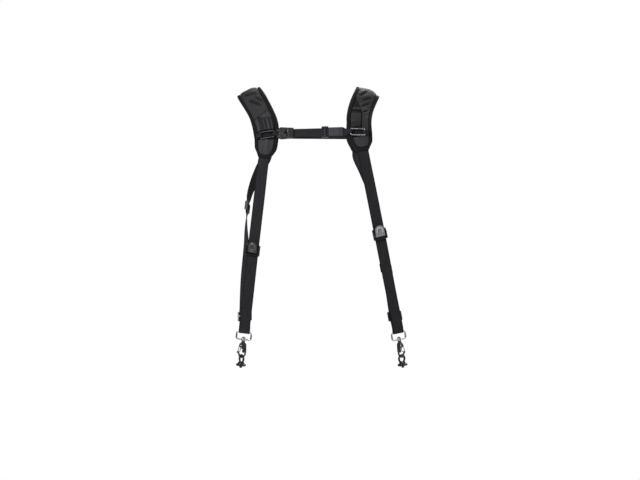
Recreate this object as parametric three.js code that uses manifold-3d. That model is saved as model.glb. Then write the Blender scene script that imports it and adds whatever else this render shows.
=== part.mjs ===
// Dual camera harness: two padded shoulder pads, a chest strap and two webbing loops,
// each with a cam lock, a swivel eye, a swivel hook and a screw-in ring fastener.
// Millimetres, +Z up. The wearer faces -Y, so the wearer's right is at -X.
// The origin lies midway between the undersides of the two pads at the shoulder crest.
import * as THREE from 'three';
import { mergeVertices } from 'three/addons/utils/BufferGeometryUtils.js';
import Module from 'manifold-3d';

const wasm = await Module();
wasm.setup();

// Clearances
const GAP = 0.3;
const LAYER_GAP = 0.5;
const PIVOT_PLAY = 0.3;

// Webbing
const STRAP_WIDTH = 25;
const STRAP_THICK = 2;
const CHEST_WIDTH = 19;
const CHEST_THICK = 1.6;
const TAB_WIDTH = 10;

// Shoulder pads
const CREST_HALF = 133;
const PAD_REACH = 107;
const PAD_FRONT_DROP = { right: 141.5, left: 125.5 };
const PAD_REAR_DROP = 134;
const PAD_HALF_WIDTH = 27;
const PAD_EDGE = 5;
const PAD_CROWN = 4.5;
const BINDING_LIP = 6;
const BINDING_THICK = 1;
const PANEL_THICK = 1.4;
const FOLD_HEIGHT = 2.4;
const CREASE_LENGTH = 30;
const RIB_HEIGHT = 1.4;
const RIB_PITCH = 0.45;
const RIB_CUTOFF = 0.9;
const SEAM_GAP = 1.2;

// Webbing loops
const EYE_ACROSS = { right: 144, left: 202 };
const EYE_DROP = 533;
const EYE_REACH = 68;
const EYE_TURN = { right: 6, left: 20 };
const EYE_LEAN = { right: 6, left: 8 };
const FRONT_BULGE = 19;
const BACK_BULGE = 16;
const FLANK_BULGE = { right: 28, left: 11 };
const PLUMB_RUN = 9;
const STRAIGHT_EASE = 4;
const CAM_DROP = { right: 344, left: 308 };
const SLIDER_DROP = 499;
const ADJUSTER_DROP = { right: 262, left: 397 };

// Cam locks
const CAM_HEIGHT = 23;
const CAM_PLATE = 1.8;
const CAM_EAR = 2.2;
const CAM_HUB_RADIUS = 3.4;
const CAM_PIN_RADIUS = 1.5;
const LEVER_WIDTH = 21;
const LEVER_HEIGHT = 22;
const LEVER_THICK = 2.4;
const LEVER_TILT = 9;
const CAM_CORNER = 3;
const CAM_AXIS_Z = -2;

// Sliders
const SLIDER_RAIL = 3;
const SLIDER_BAR = 3.4;
const SLIDER_HEIGHT = 21;
const SLIDER_DEPTH = 2.2;
const CHEST_SLIDER_HEIGHT = 15;

// Swivel eyes and hooks
const EYE_WIRE = 3;
const EYE_CORNER = 4;
const EYE_INNER_WIDTH = 30;
const EYE_INNER_HEIGHT = 14;
const BOSS_RADIUS = 4.6;
const BOSS_HEIGHT = 5;
const POST_RADIUS = 2.2;
const POST_HEAD_RADIUS = 3.6;
const POST_HEAD_HEIGHT = 3;
const NECK_HEIGHT = 4;
const HOOK_TURN = { right: 35, left: 50 };
const HOOK_BODY_WIDTH = 16;
const HOOK_BODY_HEIGHT = 24;
const HOOK_BODY_THICK = 5;
const HOOK_WIRE = 4;
const HOOK_THROAT = 15;
const GATE_WIRE = 2;
const GATE_LENGTH = 17.4;
const GATE_LEAN = 11;
const NOSE_REACH = 4.6;
const NOSE_RISE = 4.4;

// Ring fasteners
const RING_HOLE_RADIUS = 6;
const RING_WIRE = 4.6;
const FLANGE_RADIUS = 11;
const FLANGE_HEIGHT = 4;
const STUD_RADIUS = 3.175;
const STUD_LENGTH = 5;

// Chest strap
const CHEST_DROP = { right: 95, left: 89 };
const RING_INSET = { right: 22, left: 17.5 };
const RING_BAR = 2.5;
const RING_LONG = 34;
const RING_TALL = 17;
const RING_CORNER = 2;
const TAB_LENGTH = 8;
const TAPER = 15;
const CHEST_SLIDER_SHARE = 0.665;
const BUCKLE_LENGTH = 38;
const BUCKLE_WIDTH = 26;
const BUCKLE_THICK = 9;
const BUCKLE_WALL = 1.8;
const SOCKET_BAR = 7;
const SOCKET_FROM = 10.5;
const POCKET_DEPTH = 5;

// Back link
const LINK_DROP = 100;
const LINK_LAP = 12;
const LINK_OVERHANG = 2;

// Colours, roughness and metalness
const FINISHES = {
  webbing: { color: 0x1a1b1f, roughness: 0.85, metalness: 0 },
  panel: { color: 0x232428, roughness: 0.75, metalness: 0 },
  binding: { color: 0x0e0e10, roughness: 0.9, metalness: 0 },
  plastic: { color: 0x101114, roughness: 0.35, metalness: 0 },
  lever: { color: 0x77787c, roughness: 0.4, metalness: 0.3 },
  gunmetal: { color: 0x3c3c42, roughness: 0.35, metalness: 0.9 },
  bright: { color: 0xc4c5c9, roughness: 0.25, metalness: 1 },
  black_metal: { color: 0x17181a, roughness: 0.4, metalness: 0.7 },
};

const radians = THREE.MathUtils.degToRad;
const vector = (x, y, z) => new THREE.Vector3(x, y, z);

// A closed body from corners and triangles, turned right side out.
function closedBody(points, triangles) {
  let volume = 0;
  for (let i = 0; i < triangles.length; i += 3) {
    const [a, b, c] = [points[triangles[i]], points[triangles[i + 1]], points[triangles[i + 2]]];
    volume += a.dot(b.clone().cross(c));
  }
  const geometry = new THREE.BufferGeometry();
  geometry.setAttribute('position', new THREE.Float32BufferAttribute(points.flatMap((p) => p.toArray()), 3));
  geometry.setIndex(volume < 0 ? [...triangles].reverse() : triangles);
  return geometry;
}

// A body through rings of equally many corners, with a flat cap on each end unless it closes on itself.
function loft(rings, closes = false) {
  const count = rings[0].length;
  const triangles = [];
  const last = closes ? rings.length : rings.length - 1;
  for (let r = 0; r < last; r++) {
    const near = r * count;
    const far = ((r + 1) % rings.length) * count;
    for (let i = 0; i < count; i++) {
      const j = (i + 1) % count;
      triangles.push(near + i, near + j, far + j, near + i, far + j, far + i);
    }
  }
  if (!closes) {
    const end = (rings.length - 1) * count;
    for (let i = 1; i < count - 1; i++) {
      triangles.push(0, i + 1, i, end, end + i, end + i + 1);
    }
  }
  return closedBody(rings.flat(), triangles);
}

// A slab on a curved surface, between a floor and a roof height, on rows along it and columns across it.
function slab(place, rows, columns, floor, roof) {
  const across = columns(rows[0]).length;
  const level = (height) => rows.flatMap((s) => columns(s).map((t) => place(s, t, height(s, t))));
  const lift = rows.length * across;
  const triangles = [];
  const quad = (a, b, c, d) => triangles.push(a, b, c, a, c, d);
  const at = (row, column) => row * across + column;
  for (let r = 0; r < rows.length - 1; r++) {
    for (let c = 0; c < across - 1; c++) {
      quad(at(r, c), at(r, c + 1), at(r + 1, c + 1), at(r + 1, c));
      quad(lift + at(r, c), lift + at(r + 1, c), lift + at(r + 1, c + 1), lift + at(r, c + 1));
    }
    quad(at(r, 0), at(r + 1, 0), lift + at(r + 1, 0), lift + at(r, 0));
    quad(at(r + 1, across - 1), at(r, across - 1), lift + at(r, across - 1), lift + at(r + 1, across - 1));
  }
  const top = rows.length - 1;
  for (let c = 0; c < across - 1; c++) {
    quad(at(0, c + 1), at(0, c), lift + at(0, c), lift + at(0, c + 1));
    quad(at(top, c), at(top, c + 1), lift + at(top, c + 1), lift + at(top, c));
  }
  return closedBody([...level(floor), ...level(roof)], triangles);
}

// Round wire along points that lie in one plane.
function wire(points, normal, radius, sides, closes) {
  const count = points.length;
  return loft(points.map((point, i) => {
    const before = closes ? points[(i + count - 1) % count] : points[Math.max(i - 1, 0)];
    const after = closes ? points[(i + 1) % count] : points[Math.min(i + 1, count - 1)];
    const side = normal.clone().cross(after.clone().sub(before).normalize());
    return Array.from({ length: sides }, (_, k) => {
      const angle = (2 * Math.PI * (k + 0.5)) / sides;
      return point.clone().addScaledVector(side, radius * Math.cos(angle))
        .addScaledVector(normal, radius * Math.sin(angle));
    });
  }), closes);
}

// Points on an arc in the plane of two unit directions.
function arc(centre, radius, from, to, steps, right, up) {
  return Array.from({ length: steps + 1 }, (_, i) => {
    const angle = radians(from + ((to - from) * i) / steps);
    return centre.clone().addScaledVector(right, radius * Math.cos(angle))
      .addScaledVector(up, radius * Math.sin(angle));
  });
}

// A rounded rectangle in the XZ plane, about a centre.
function roundedRectangle(width, height, corner, steps, centre = vector(0, 0, 0)) {
  const right = vector(1, 0, 0);
  const up = vector(0, 0, 1);
  const [dx, dz] = [width / 2 - corner, height / 2 - corner];
  return [[dx, dz, 0], [-dx, dz, 90], [-dx, -dz, 180], [dx, -dz, 270]].flatMap(([x, z, start]) => (
    arc(centre.clone().add(vector(x, 0, z)), corner, start, start + 90, steps, right, up)));
}

// Flat webbing along stations, each with a point, a width direction and a width.
function ribbon(stations, thick) {
  return loft(stations.map((station, i) => {
    const before = stations[Math.max(i - 1, 0)].at;
    const after = stations[Math.min(i + 1, stations.length - 1)].at;
    const along = after.clone().sub(before).normalize();
    const face = (station.face ?? along.clone().cross(station.across)).clone().normalize();
    const half = station.across.clone().multiplyScalar(station.width / 2);
    const up = face.multiplyScalar(thick / 2);
    return [[1, 1], [-1, 1], [-1, -1], [1, -1]].map(([side, lift]) => (
      station.at.clone().addScaledVector(half, side).addScaledVector(up, lift)));
  }));
}

// Joining and cutting
function toSolid(geometry) {
  const bare = geometry.clone();
  bare.deleteAttribute('normal');
  bare.deleteAttribute('uv');
  const merged = mergeVertices(bare, 1e-4);
  return new wasm.Manifold(new wasm.Mesh({
    numProp: 3,
    vertProperties: Float32Array.from(merged.attributes.position.array),
    triVerts: Uint32Array.from(merged.index.array),
  }));
}

function toGeometry(solid) {
  const { vertProperties, triVerts } = solid.getMesh();
  const geometry = new THREE.BufferGeometry();
  geometry.setAttribute('position', new THREE.BufferAttribute(vertProperties, 3));
  geometry.setIndex(new THREE.BufferAttribute(triVerts, 1));
  return geometry;
}

const join = (...shapes) => toGeometry(shapes.map(toSolid).reduce((sum, next) => sum.add(next)));
const cut = (shape, ...tools) => (
  toGeometry(tools.map(toSolid).reduce((sum, next) => sum.subtract(next), toSolid(shape))));
const box = (x0, x1, y0, y1, z0, z1) => (
  new THREE.BoxGeometry(x1 - x0, y1 - y0, z1 - z0).translate((x0 + x1) / 2, (y0 + y1) / 2, (z0 + z1) / 2));

// A cylinder about Z between two heights.
function post(radius, z0, z1, sides = 16) {
  return new THREE.CylinderGeometry(radius, radius, z1 - z0, sides)
    .rotateX(Math.PI / 2).translate(0, 0, (z0 + z1) / 2);
}

// An outline in the XZ plane, extruded along Y between two depths.
function plate(outline, y0, y1) {
  const shape = new THREE.Shape(outline.map(([x, z]) => new THREE.Vector2(x, z)));
  return new THREE.ExtrudeGeometry(shape, { depth: y1 - y0, bevelEnabled: false, curveSegments: 8 })
    .rotateX(Math.PI / 2).translate(0, y1, 0);
}

// An outline in the YZ plane, extruded along X between two places.
function sidePlate(outline, x0, x1) {
  const shape = new THREE.Shape(outline.map(([y, z]) => new THREE.Vector2(y, z)));
  return new THREE.ExtrudeGeometry(shape, { depth: x1 - x0, bevelEnabled: false, curveSegments: 8 })
    .applyMatrix4(new THREE.Matrix4().makeBasis(vector(0, 1, 0), vector(0, 0, 1), vector(1, 0, 0)))
    .translate(x0, 0, 0);
}

const harness = new THREE.Group();

function add(name, geometry, finish, parent = harness) {
  const mesh = new THREE.Mesh(geometry, new THREE.MeshStandardMaterial(FINISHES[finish]));
  mesh.name = name;
  parent.add(mesh);
  return mesh;
}

// Pad stations from the front end over the crest to the rear end. Across, depth and height are shares
// of the crest's half spacing, the reach and the drop; half is a share of the pad's half width;
// slope and turn are degrees that the width rises and comes forward towards the neck.
const END_SHARE = STRAP_WIDTH / 2 / PAD_HALF_WIDTH;
const PAD_STATIONS = {
  right: [
    { across: 0.718, depth: -1, height: 1, slope: 0, turn: 12, half: END_SHARE },
    { across: 0.689, depth: -0.95, height: 0.846, slope: 2, turn: 12, half: 0.88 },
    { across: 0.679, depth: -0.87, height: 0.673, slope: 4, turn: 13, half: 0.96 },
    { across: 0.69, depth: -0.77, height: 0.519, slope: 10, turn: 13, half: 1 },
    { across: 0.81, depth: -0.47, height: 0.258, slope: 33, turn: 9, half: 1 },
    { across: 1, depth: 0, height: 0, slope: 22, turn: 0, half: 1 },
    { across: 0.88, depth: 0.45, height: 0.2, slope: 20, turn: -6, half: 1 },
    { across: 0.78, depth: 0.79, height: 0.52, slope: 8, turn: -12, half: 1 },
    { across: 0.75, depth: 0.94, height: 0.79, slope: 2, turn: -12, half: 0.94 },
    { across: 0.745, depth: 1, height: 1, slope: 0, turn: -12, half: END_SHARE },
  ],
  left: [
    { across: 0.902, depth: -1, height: 1, slope: -2, turn: 12, half: END_SHARE },
    { across: 0.878, depth: -0.95, height: 0.847, slope: 0, turn: 12, half: 0.86 },
    { across: 0.854, depth: -0.87, height: 0.675, slope: 2, turn: 13, half: 0.96 },
    { across: 0.84, depth: -0.74, height: 0.493, slope: 6, turn: 13, half: 1 },
    { across: 0.885, depth: -0.43, height: 0.255, slope: 20, turn: 8, half: 1 },
    { across: 1, depth: 0, height: 0, slope: 24, turn: 0, half: 1 },
    { across: 0.92, depth: 0.45, height: 0.2, slope: 20, turn: -6, half: 1 },
    { across: 0.87, depth: 0.79, height: 0.52, slope: 8, turn: -12, half: 1 },
    { across: 0.86, depth: 0.94, height: 0.79, slope: 2, turn: -12, half: 0.94 },
    { across: 0.86, depth: 1, height: 1, slope: 0, turn: -12, half: END_SHARE },
  ],
};
const PAD_ROWS = 22;
const FRONT_SHARE = 0.48;
const PAD_COLUMNS = [-1, -0.5, 0, 0.5, 1];

// The surface that a pad and all its layers follow: s runs along it, t towards the neck, h off its underside.
function padSurface(side) {
  const sign = side === 'right' ? 1 : -1;
  const stations = PAD_STATIONS[side];
  const centre = new THREE.CatmullRomCurve3(stations.map(({ across, depth, height }) => (
    vector(
      -sign * across * CREST_HALF,
      depth * PAD_REACH,
      -height * (depth < 0 ? PAD_FRONT_DROP[side] : PAD_REAR_DROP),
    ))), false, 'centripetal');
  const shape = new THREE.CatmullRomCurve3(stations.map(({ slope, turn, half }) => (
    vector(slope, turn, half * PAD_HALF_WIDTH))), false, 'catmullrom', 0.3);
  centre.arcLengthDivisions = 400;
  const length = centre.getLength();
  const stationAt = (s) => centre.getUtoTmapping(THREE.MathUtils.clamp(s / length, 0, 1));
  const frame = (s) => {
    const inside = THREE.MathUtils.clamp(s, 0, length);
    const along = centre.getTangent(stationAt(s)).normalize();
    const { x: slope, y: turn } = shape.getPoint(stationAt(s));
    const across = vector(
      sign * Math.cos(radians(slope)) * Math.cos(radians(turn)),
      -Math.cos(radians(slope)) * Math.sin(radians(turn)),
      Math.sin(radians(slope)),
    );
    across.addScaledVector(along, -across.dot(along)).normalize();
    const out = across.clone().cross(along).multiplyScalar(sign).normalize();
    const at = centre.getPoint(stationAt(s)).addScaledVector(along, s - inside);
    return { at, along, across, out };
  };
  const half = (s) => Math.min(shape.getPoint(stationAt(s)).z, PAD_HALF_WIDTH);
  const inner = Array.from({ length: PAD_ROWS }, (_, i) => (
    BINDING_LIP + ((length - 2 * BINDING_LIP) * i) / (PAD_ROWS - 1)));
  const marks = [0, ...inner, length];
  const onCurve = (s, t, h) => {
    const { at, across, out } = frame(s);
    return at.addScaledVector(across, t).addScaledVector(out, h);
  };
  // Between its rows the pad is straight, so every layer lies on the same facets.
  const place = (s, t, h) => {
    if (s <= 0 || s >= length) return onCurve(s, t, h);
    const next = marks.findIndex((mark) => mark >= s);
    const [from, to] = [marks[next - 1], marks[next]];
    return onCurve(from, t, h).lerp(onCurve(to, t, h), (s - from) / (to - from));
  };
  const crown = (s, t) => {
    const flat = half(s) - BINDING_LIP;
    const run = inner[1] - inner[0];
    const fade = Math.min(1, Math.max(0, (s - inner[0]) / run), Math.max(0, (inner.at(-1) - s) / run));
    return PAD_EDGE + fade * PAD_CROWN * Math.max(0, 1 - (t / flat) ** 2);
  };
  // The place along the front half, or the rear half, where the centre has a given height
  const atHeight = (height, rear = false) => {
    let [low, high] = rear ? [length, length / 2] : [0, length * FRONT_SHARE];
    for (let i = 0; i < 30; i++) {
      const middle = (low + high) / 2;
      if (centre.getPoint(stationAt(middle)).z < height) low = middle;
      else high = middle;
    }
    return low;
  };
  return { sign, length, frame, place, half, inner, crown, atHeight, side };
}

// The foam pad, crowned between the flat edges that the binding folds over.
function padBody(pad) {
  const rows = [0, ...pad.inner, pad.length];
  const columns = (s) => {
    const flat = pad.half(s) - BINDING_LIP;
    return [-pad.half(s), ...PAD_COLUMNS.map((c) => c * flat), pad.half(s)];
  };
  return slab(pad.place, rows, columns, () => 0, pad.crown);
}

// The tape folded over the pad's edge: an outer skin less the pad and less the window inside its lips.
function padBinding(pad) {
  const shell = (grow) => slab(
    pad.place,
    [-grow, ...pad.inner, pad.length + grow],
    (s) => {
      const [edge, lip] = [pad.half(s) + grow, pad.half(s) - BINDING_LIP];
      return [-edge, -lip, lip, edge];
    },
    () => -grow,
    () => PAD_EDGE + grow,
  );
  const window = slab(
    pad.place,
    pad.inner,
    (s) => [BINDING_LIP - pad.half(s), pad.half(s) - BINDING_LIP],
    () => -PAD_EDGE,
    () => 2 * PAD_EDGE + PAD_CROWN,
  );
  return cut(shell(GAP + BINDING_THICK), shell(GAP), window);
}

// A layer sewn on the pad between two places along it; columns are shares of the flat half width.
function padPanel(pad, from, to, columns, relief, extra = 1) {
  const inside = pad.inner.filter((s) => s > from + 1 && s < to - 1);
  const marks = [from, ...inside, to];
  const rows = marks.flatMap((s, i) => (i === 0 ? [s] : Array.from({ length: extra }, (_, k) => (
    marks[i - 1] + ((s - marks[i - 1]) * (k + 1)) / extra))));
  const lift = (s, t) => pad.crown(s, t) + LAYER_GAP;
  return slab(
    pad.place,
    rows,
    (s) => columns.map((c) => c * (pad.half(s) - BINDING_LIP)),
    lift,
    (s, t) => lift(s, t) + PANEL_THICK + relief(s, t),
  );
}

const PADS = { right: padSurface('right'), left: padSurface('left') };

// Shoulder pads and the layers sewn on them
const UPPER_COLUMNS = [-0.95, -0.5, 0, 0.5, 0.95];
const LOWER_COLUMNS = [-0.9, -0.5, 0, 0.5, 0.9];
const RIB_COLUMNS = [-0.9, -0.7, -0.5, -0.25, 0, 0.25, 0.5, 0.7, 0.9];
// Where the layers end, as shares of the front drop and, behind, of the length; slant is the seam's slope.
const PANEL_LIMITS = {
  right: { lower: 0.741, ribs: 0.462, seam: 0.278, slant: 0.62, rear: 0.64 },
  left: { lower: 0.78, ribs: 0.522, seam: 0.242, slant: 0.75, rear: 0.64 },
};

// Diagonal creases that run down towards the neck, as waves of the place along and across.
const creases = (from, slant, length) => (s, t) => (
  FOLD_HEIGHT * Math.max(0, Math.sin((2 * Math.PI * (s - from - slant * t)) / length)) ** 2);

// Keeps the part of a layer beyond a slanted seam line. The cutter's columns are shares of the half width.
const SEAM_COLUMNS = [-0.9, -0.45, 0, 0.45, 0.9];
function trimAtSeam(pad, layer, seam, slant, keepUpper) {
  const skewed = (s, t, h) => pad.place(s + slant * t, t, h);
  const reach = PAD_HALF_WIDTH * 1.6;
  const rows = keepUpper ? [seam - 2 * reach, seam - reach, seam] : [seam, seam + reach, seam + 2 * reach];
  const columns = () => SEAM_COLUMNS.map((c) => c * PAD_HALF_WIDTH);
  return cut(layer, slab(skewed, rows, columns, () => PAD_EDGE - LAYER_GAP, () => 4 * PAD_EDGE));
}

for (const [side, pad] of Object.entries(PADS)) {
  const limits = PANEL_LIMITS[side];
  const drop = PAD_FRONT_DROP[side];
  const lowerTop = pad.atHeight(-limits.lower * drop);
  const ribFoot = pad.atHeight(-limits.ribs * drop);
  const seam = pad.atHeight(-limits.seam * drop);
  const rear = pad.length * limits.rear;
  const slantReach = limits.slant * PAD_HALF_WIDTH;
  add(`shoulder_pad_${side}`, padBody(pad), 'panel');
  add(`pad_binding_${side}`, padBinding(pad), 'binding');
  const creased = creases(seam, limits.slant, CREASE_LENGTH);
  const upper = padPanel(pad, seam - slantReach, rear, UPPER_COLUMNS, (s, t) => (
    s > seam + slantReach && s < rear - 8 ? creased(s, t) : 0), 2);
  add(`upper_panel_${side}`, trimAtSeam(pad, upper, seam + SEAM_GAP, limits.slant, true), 'panel');
  const onRib = (s, t) => (
    Math.abs(Math.sin((t / (pad.half(s) - BINDING_LIP) / RIB_PITCH) * Math.PI)) > RIB_CUTOFF);
  const ribbed = padPanel(pad, ribFoot, seam + slantReach, RIB_COLUMNS, (s, t) => (
    onRib(s, t) ? RIB_HEIGHT : 0));
  add(`front_panel_${side}`, trimAtSeam(pad, ribbed, seam - SEAM_GAP, limits.slant, false), 'webbing');
  add(`lower_panel_${side}`, padPanel(pad, pad.inner[1], lowerTop, LOWER_COLUMNS, () => 0), 'panel');
}

// A level direction turned from +X towards +Y, and a direction squared to an axis
const turned = (angle) => vector(Math.cos(radians(angle)), Math.sin(radians(angle)), 0);
const squared = (x, z) => x.clone().addScaledVector(z, -x.dot(z)).normalize();

// Turned groups: a local X, Y and Z at a place
function groupAt(at, x, z) {
  const group = new THREE.Group();
  const y = z.clone().cross(x).normalize();
  group.matrixAutoUpdate = false;
  group.matrix.makeBasis(x.clone().normalize(), y, x.clone().cross(y).normalize()).setPosition(at);
  group.matrix.decompose(group.position, group.quaternion, group.scale);
  group.matrixAutoUpdate = true;
  harness.add(group);
  group.updateMatrixWorld(true);
  return group;
}

// Rear strap stations from the eye to the pad's rear end: run is the share of the way, back and flank
// are shares of the two bulges, turn is how far the webbing has turned round the waist in degrees.
const REAR_STATIONS = [
  { run: 0.1, back: -0.3, flank: 0.15, turn: 14 },
  { run: 0.27, back: -0.15, flank: 0.45, turn: 35 },
  { run: 0.46, back: 0.45, flank: 0.72, turn: 61 },
  { run: 0.6, back: 0.8, flank: 1, turn: 82 },
  { run: 0.757, back: 1, flank: 1, turn: 115 },
  { run: 0.89, back: 0.8, flank: 0.45, turn: 150 },
];
// Front strap stations from the pad's front end to the eye, with their bulge over the chest.
const FRONT_STATIONS = [
  { run: 0.22, bulge: 0.68 },
  { run: 0.5, bulge: 1 },
  { run: 0.78, bulge: 0.6 },
];
const PLY_OFFSET = EYE_WIRE / 2 + GAP + STRAP_THICK / 2;

// A smooth webbing route with its turn at each station
function route(points, turns, sign) {
  const centre = new THREE.CatmullRomCurve3(points, false, 'centripetal');
  const turnPoints = turns.map((turn) => vector(turn, 0, 0));
  const turning = new THREE.CatmullRomCurve3(turnPoints, false, 'catmullrom', 0.5);
  centre.arcLengthDivisions = 300;
  const stationAt = (u) => {
    const t = centre.getUtoTmapping(THREE.MathUtils.clamp(u, 0, 1));
    const along = centre.getTangent(t).normalize();
    const turn = radians(turning.getPoint(t).x);
    const across = vector(sign * Math.cos(turn), -Math.sin(turn), 0);
    across.addScaledVector(along, -across.dot(along)).normalize();
    const face = along.clone().cross(across);
    return { at: centre.getPoint(t), along, across, face, width: STRAP_WIDTH };
  };
  const shareAtHeight = (height) => {
    let [low, high] = [0, 1];
    const rising = points.at(-1).z > points[0].z;
    for (let i = 0; i < 30; i++) {
      const middle = (low + high) / 2;
      if ((centre.getPointAt(middle).z < height) === rising) low = middle;
      else high = middle;
    }
    return low;
  };
  const length = centre.getLength();
  // The webbing runs straight through each fitting on it, given as its share and half its height.
  const stations = (from, to, steps, fittings) => {
    const near = (u) => fittings.some(({ share, half }) => (
      Math.abs(u - share) * length < half + STRAIGHT_EASE));
    const free = Array.from({ length: steps + 1 }, (_, i) => from + ((to - from) * i) / steps)
      .filter((u, i) => i === 0 || i === steps || !near(u))
      .map((u) => ({ u, ...stationAt(u) }));
    const straight = fittings.flatMap(({ share, half }) => [-1, 1].map((end) => {
      const middle = stationAt(share);
      const u = share + (end * half) / length;
      return { ...middle, u, at: middle.at.clone().addScaledVector(middle.along, end * half) };
    })).filter(({ u }) => u > from && u < to);
    return [...free, ...straight].sort((a, b) => a.u - b.u);
  };
  return { stationAt, shareAtHeight, stations, length };
}

const EYES = {};
const ROUTES = {};
for (const [side, pad] of Object.entries(PADS)) {
  const { sign } = pad;
  const turn = EYE_TURN[side];
  const eyeAt = vector(-sign * EYE_ACROSS[side], -EYE_REACH, -EYE_DROP);
  const lean = radians(EYE_LEAN[side]);
  const eyeZ = vector(sign * Math.sin(lean), 0, Math.cos(lean));
  EYES[side] = groupAt(eyeAt, squared(turned(-sign * turn), eyeZ), eyeZ);
  const eyePoint = (x, y, z) => EYES[side].localToWorld(vector(x, y, z));
  const endGap = 2 * GAP + BINDING_THICK;
  const front = [pad.place(-endGap, 0, PAD_EDGE / 2), pad.place(-endGap - PLUMB_RUN, 0, PAD_EDGE / 2)];
  const frontFoot = [eyePoint(0, -PLY_OFFSET, PLUMB_RUN), eyePoint(0, -PLY_OFFSET, 0)];
  const frontRows = FRONT_STATIONS.map(({ run, bulge }) => (
    front[0].clone().lerp(frontFoot[1], run).add(vector(0, -bulge * FRONT_BULGE, 0))));
  const rearFoot = [eyePoint(0, PLY_OFFSET, 0), eyePoint(0, PLY_OFFSET, PLUMB_RUN)];
  const rearTop = pad.length + endGap;
  const rear = [pad.place(rearTop + PLUMB_RUN, 0, PAD_EDGE / 2), pad.place(rearTop, 0, PAD_EDGE / 2)];
  const rearRows = REAR_STATIONS.map(({ run, back, flank }) => (
    rearFoot[0].clone().lerp(rear[1], run)
      .add(vector(-sign * flank * FLANK_BULGE[side], back * BACK_BULGE, 0))));
  ROUTES[side] = {
    front: route([...front, ...frontRows, ...frontFoot], [12, 12, 12, 12, turn, turn, turn], sign),
    rear: route(
      [...rearFoot, ...rearRows, ...rear],
      [turn, turn, ...REAR_STATIONS.map((row) => row.turn), 168, 168],
      sign,
    ),
  };
}

// Webbing: down the front, round the eye's top bar and up to the slider; then round the waist to the pad
for (const [side, { front, rear }] of Object.entries(ROUTES)) {
  const eye = EYES[side];
  const x = vector(1, 0, 0).applyQuaternion(eye.quaternion).multiplyScalar(PADS[side].sign);
  const turnRound = [30, 60, 90, 120, 150].map((angle) => ({
    at: eye.localToWorld(vector(
      0,
      -PLY_OFFSET * Math.cos(radians(angle)),
      -PLY_OFFSET * Math.sin(radians(angle)),
    )),
    across: x,
    width: STRAP_WIDTH,
  }));
  const meet = rear.shareAtHeight(-SLIDER_DROP);
  const lock = { share: front.shareAtHeight(-CAM_DROP[side]), half: CAM_HEIGHT / 2 + 1 };
  const lower = { share: meet, half: SLIDER_HEIGHT / 2 + 1 };
  const upper = { share: rear.shareAtHeight(-ADJUSTER_DROP[side]), half: SLIDER_HEIGHT / 2 + 1 };
  const { at, along, across, face, width } = rear.stationAt(meet);
  const meeting = (end) => ({ at: at.clone().addScaledVector(along, (end * GAP) / 2), across, face, width });
  add(`front_strap_${side}`, ribbon([
    ...front.stations(0, 1, 22, [lock]), ...turnRound,
    ...rear.stations(0, meet, 4, [lower]).slice(0, -1), meeting(-1),
  ], STRAP_THICK), 'webbing');
  add(`rear_strap_${side}`, ribbon([
    meeting(1), ...rear.stations(meet, 1, 30, [lower, upper]).slice(1),
  ], STRAP_THICK), 'webbing');
}

// A slider with its end bars behind the webbing and its middle bar before it, webbing along Z
function slider(width, thick, height) {
  const half = width / 2 + GAP;
  const near = thick / 2 + GAP;
  const deep = near + SLIDER_DEPTH;
  return join(
    box(-half - SLIDER_RAIL, -half, -deep, deep, -height / 2, height / 2),
    box(half, half + SLIDER_RAIL, -deep, deep, -height / 2, height / 2),
    box(-half, half, near, deep, -height / 2, SLIDER_BAR - height / 2),
    box(-half, half, near, deep, height / 2 - SLIDER_BAR, height / 2),
    box(-half, half, -deep, -near, -SLIDER_BAR / 2, SLIDER_BAR / 2),
  );
}

// The cam lock's frame: a back plate, two ears with pin holes and a bar before the webbing
const CAM_EAR_IN = STRAP_WIDTH / 2 + GAP;
const CAM_BACK = STRAP_THICK / 2 + GAP;
const CAM_AXIS_Y = -(STRAP_THICK / 2 + GAP + CAM_HUB_RADIUS);
const CAM_FRONT = CAM_AXIS_Y - CAM_HUB_RADIUS;

function camFrame() {
  const outline = [
    [CAM_BACK + CAM_PLATE, -CAM_HEIGHT / 2], [CAM_BACK + CAM_PLATE, CAM_HEIGHT / 2],
    [CAM_FRONT + 2 * CAM_CORNER, CAM_HEIGHT / 2], [CAM_FRONT, CAM_HEIGHT / 2 - 2 * CAM_CORNER],
    [CAM_FRONT, CAM_CORNER - CAM_HEIGHT / 2], [CAM_FRONT + CAM_CORNER, -CAM_HEIGHT / 2],
  ];
  const ears = [-CAM_EAR_IN - CAM_EAR, CAM_EAR_IN].map((x) => sidePlate(outline, x, x + CAM_EAR));
  const foot = box(
    -CAM_EAR_IN, CAM_EAR_IN, CAM_FRONT + CAM_CORNER, -CAM_BACK,
    -CAM_HEIGHT / 2, -CAM_HEIGHT / 2 + SLIDER_BAR,
  );
  const back = box(-CAM_EAR_IN, CAM_EAR_IN, CAM_BACK, CAM_BACK + CAM_PLATE, -CAM_HEIGHT / 2, CAM_HEIGHT / 2);
  const holes = post(CAM_PIN_RADIUS + PIVOT_PLAY, -CAM_EAR_IN - 2 * CAM_EAR, CAM_EAR_IN + 2 * CAM_EAR)
    .rotateY(Math.PI / 2).translate(0, CAM_AXIS_Y, CAM_AXIS_Z);
  return cut(join(...ears, foot, back), holes);
}

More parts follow.
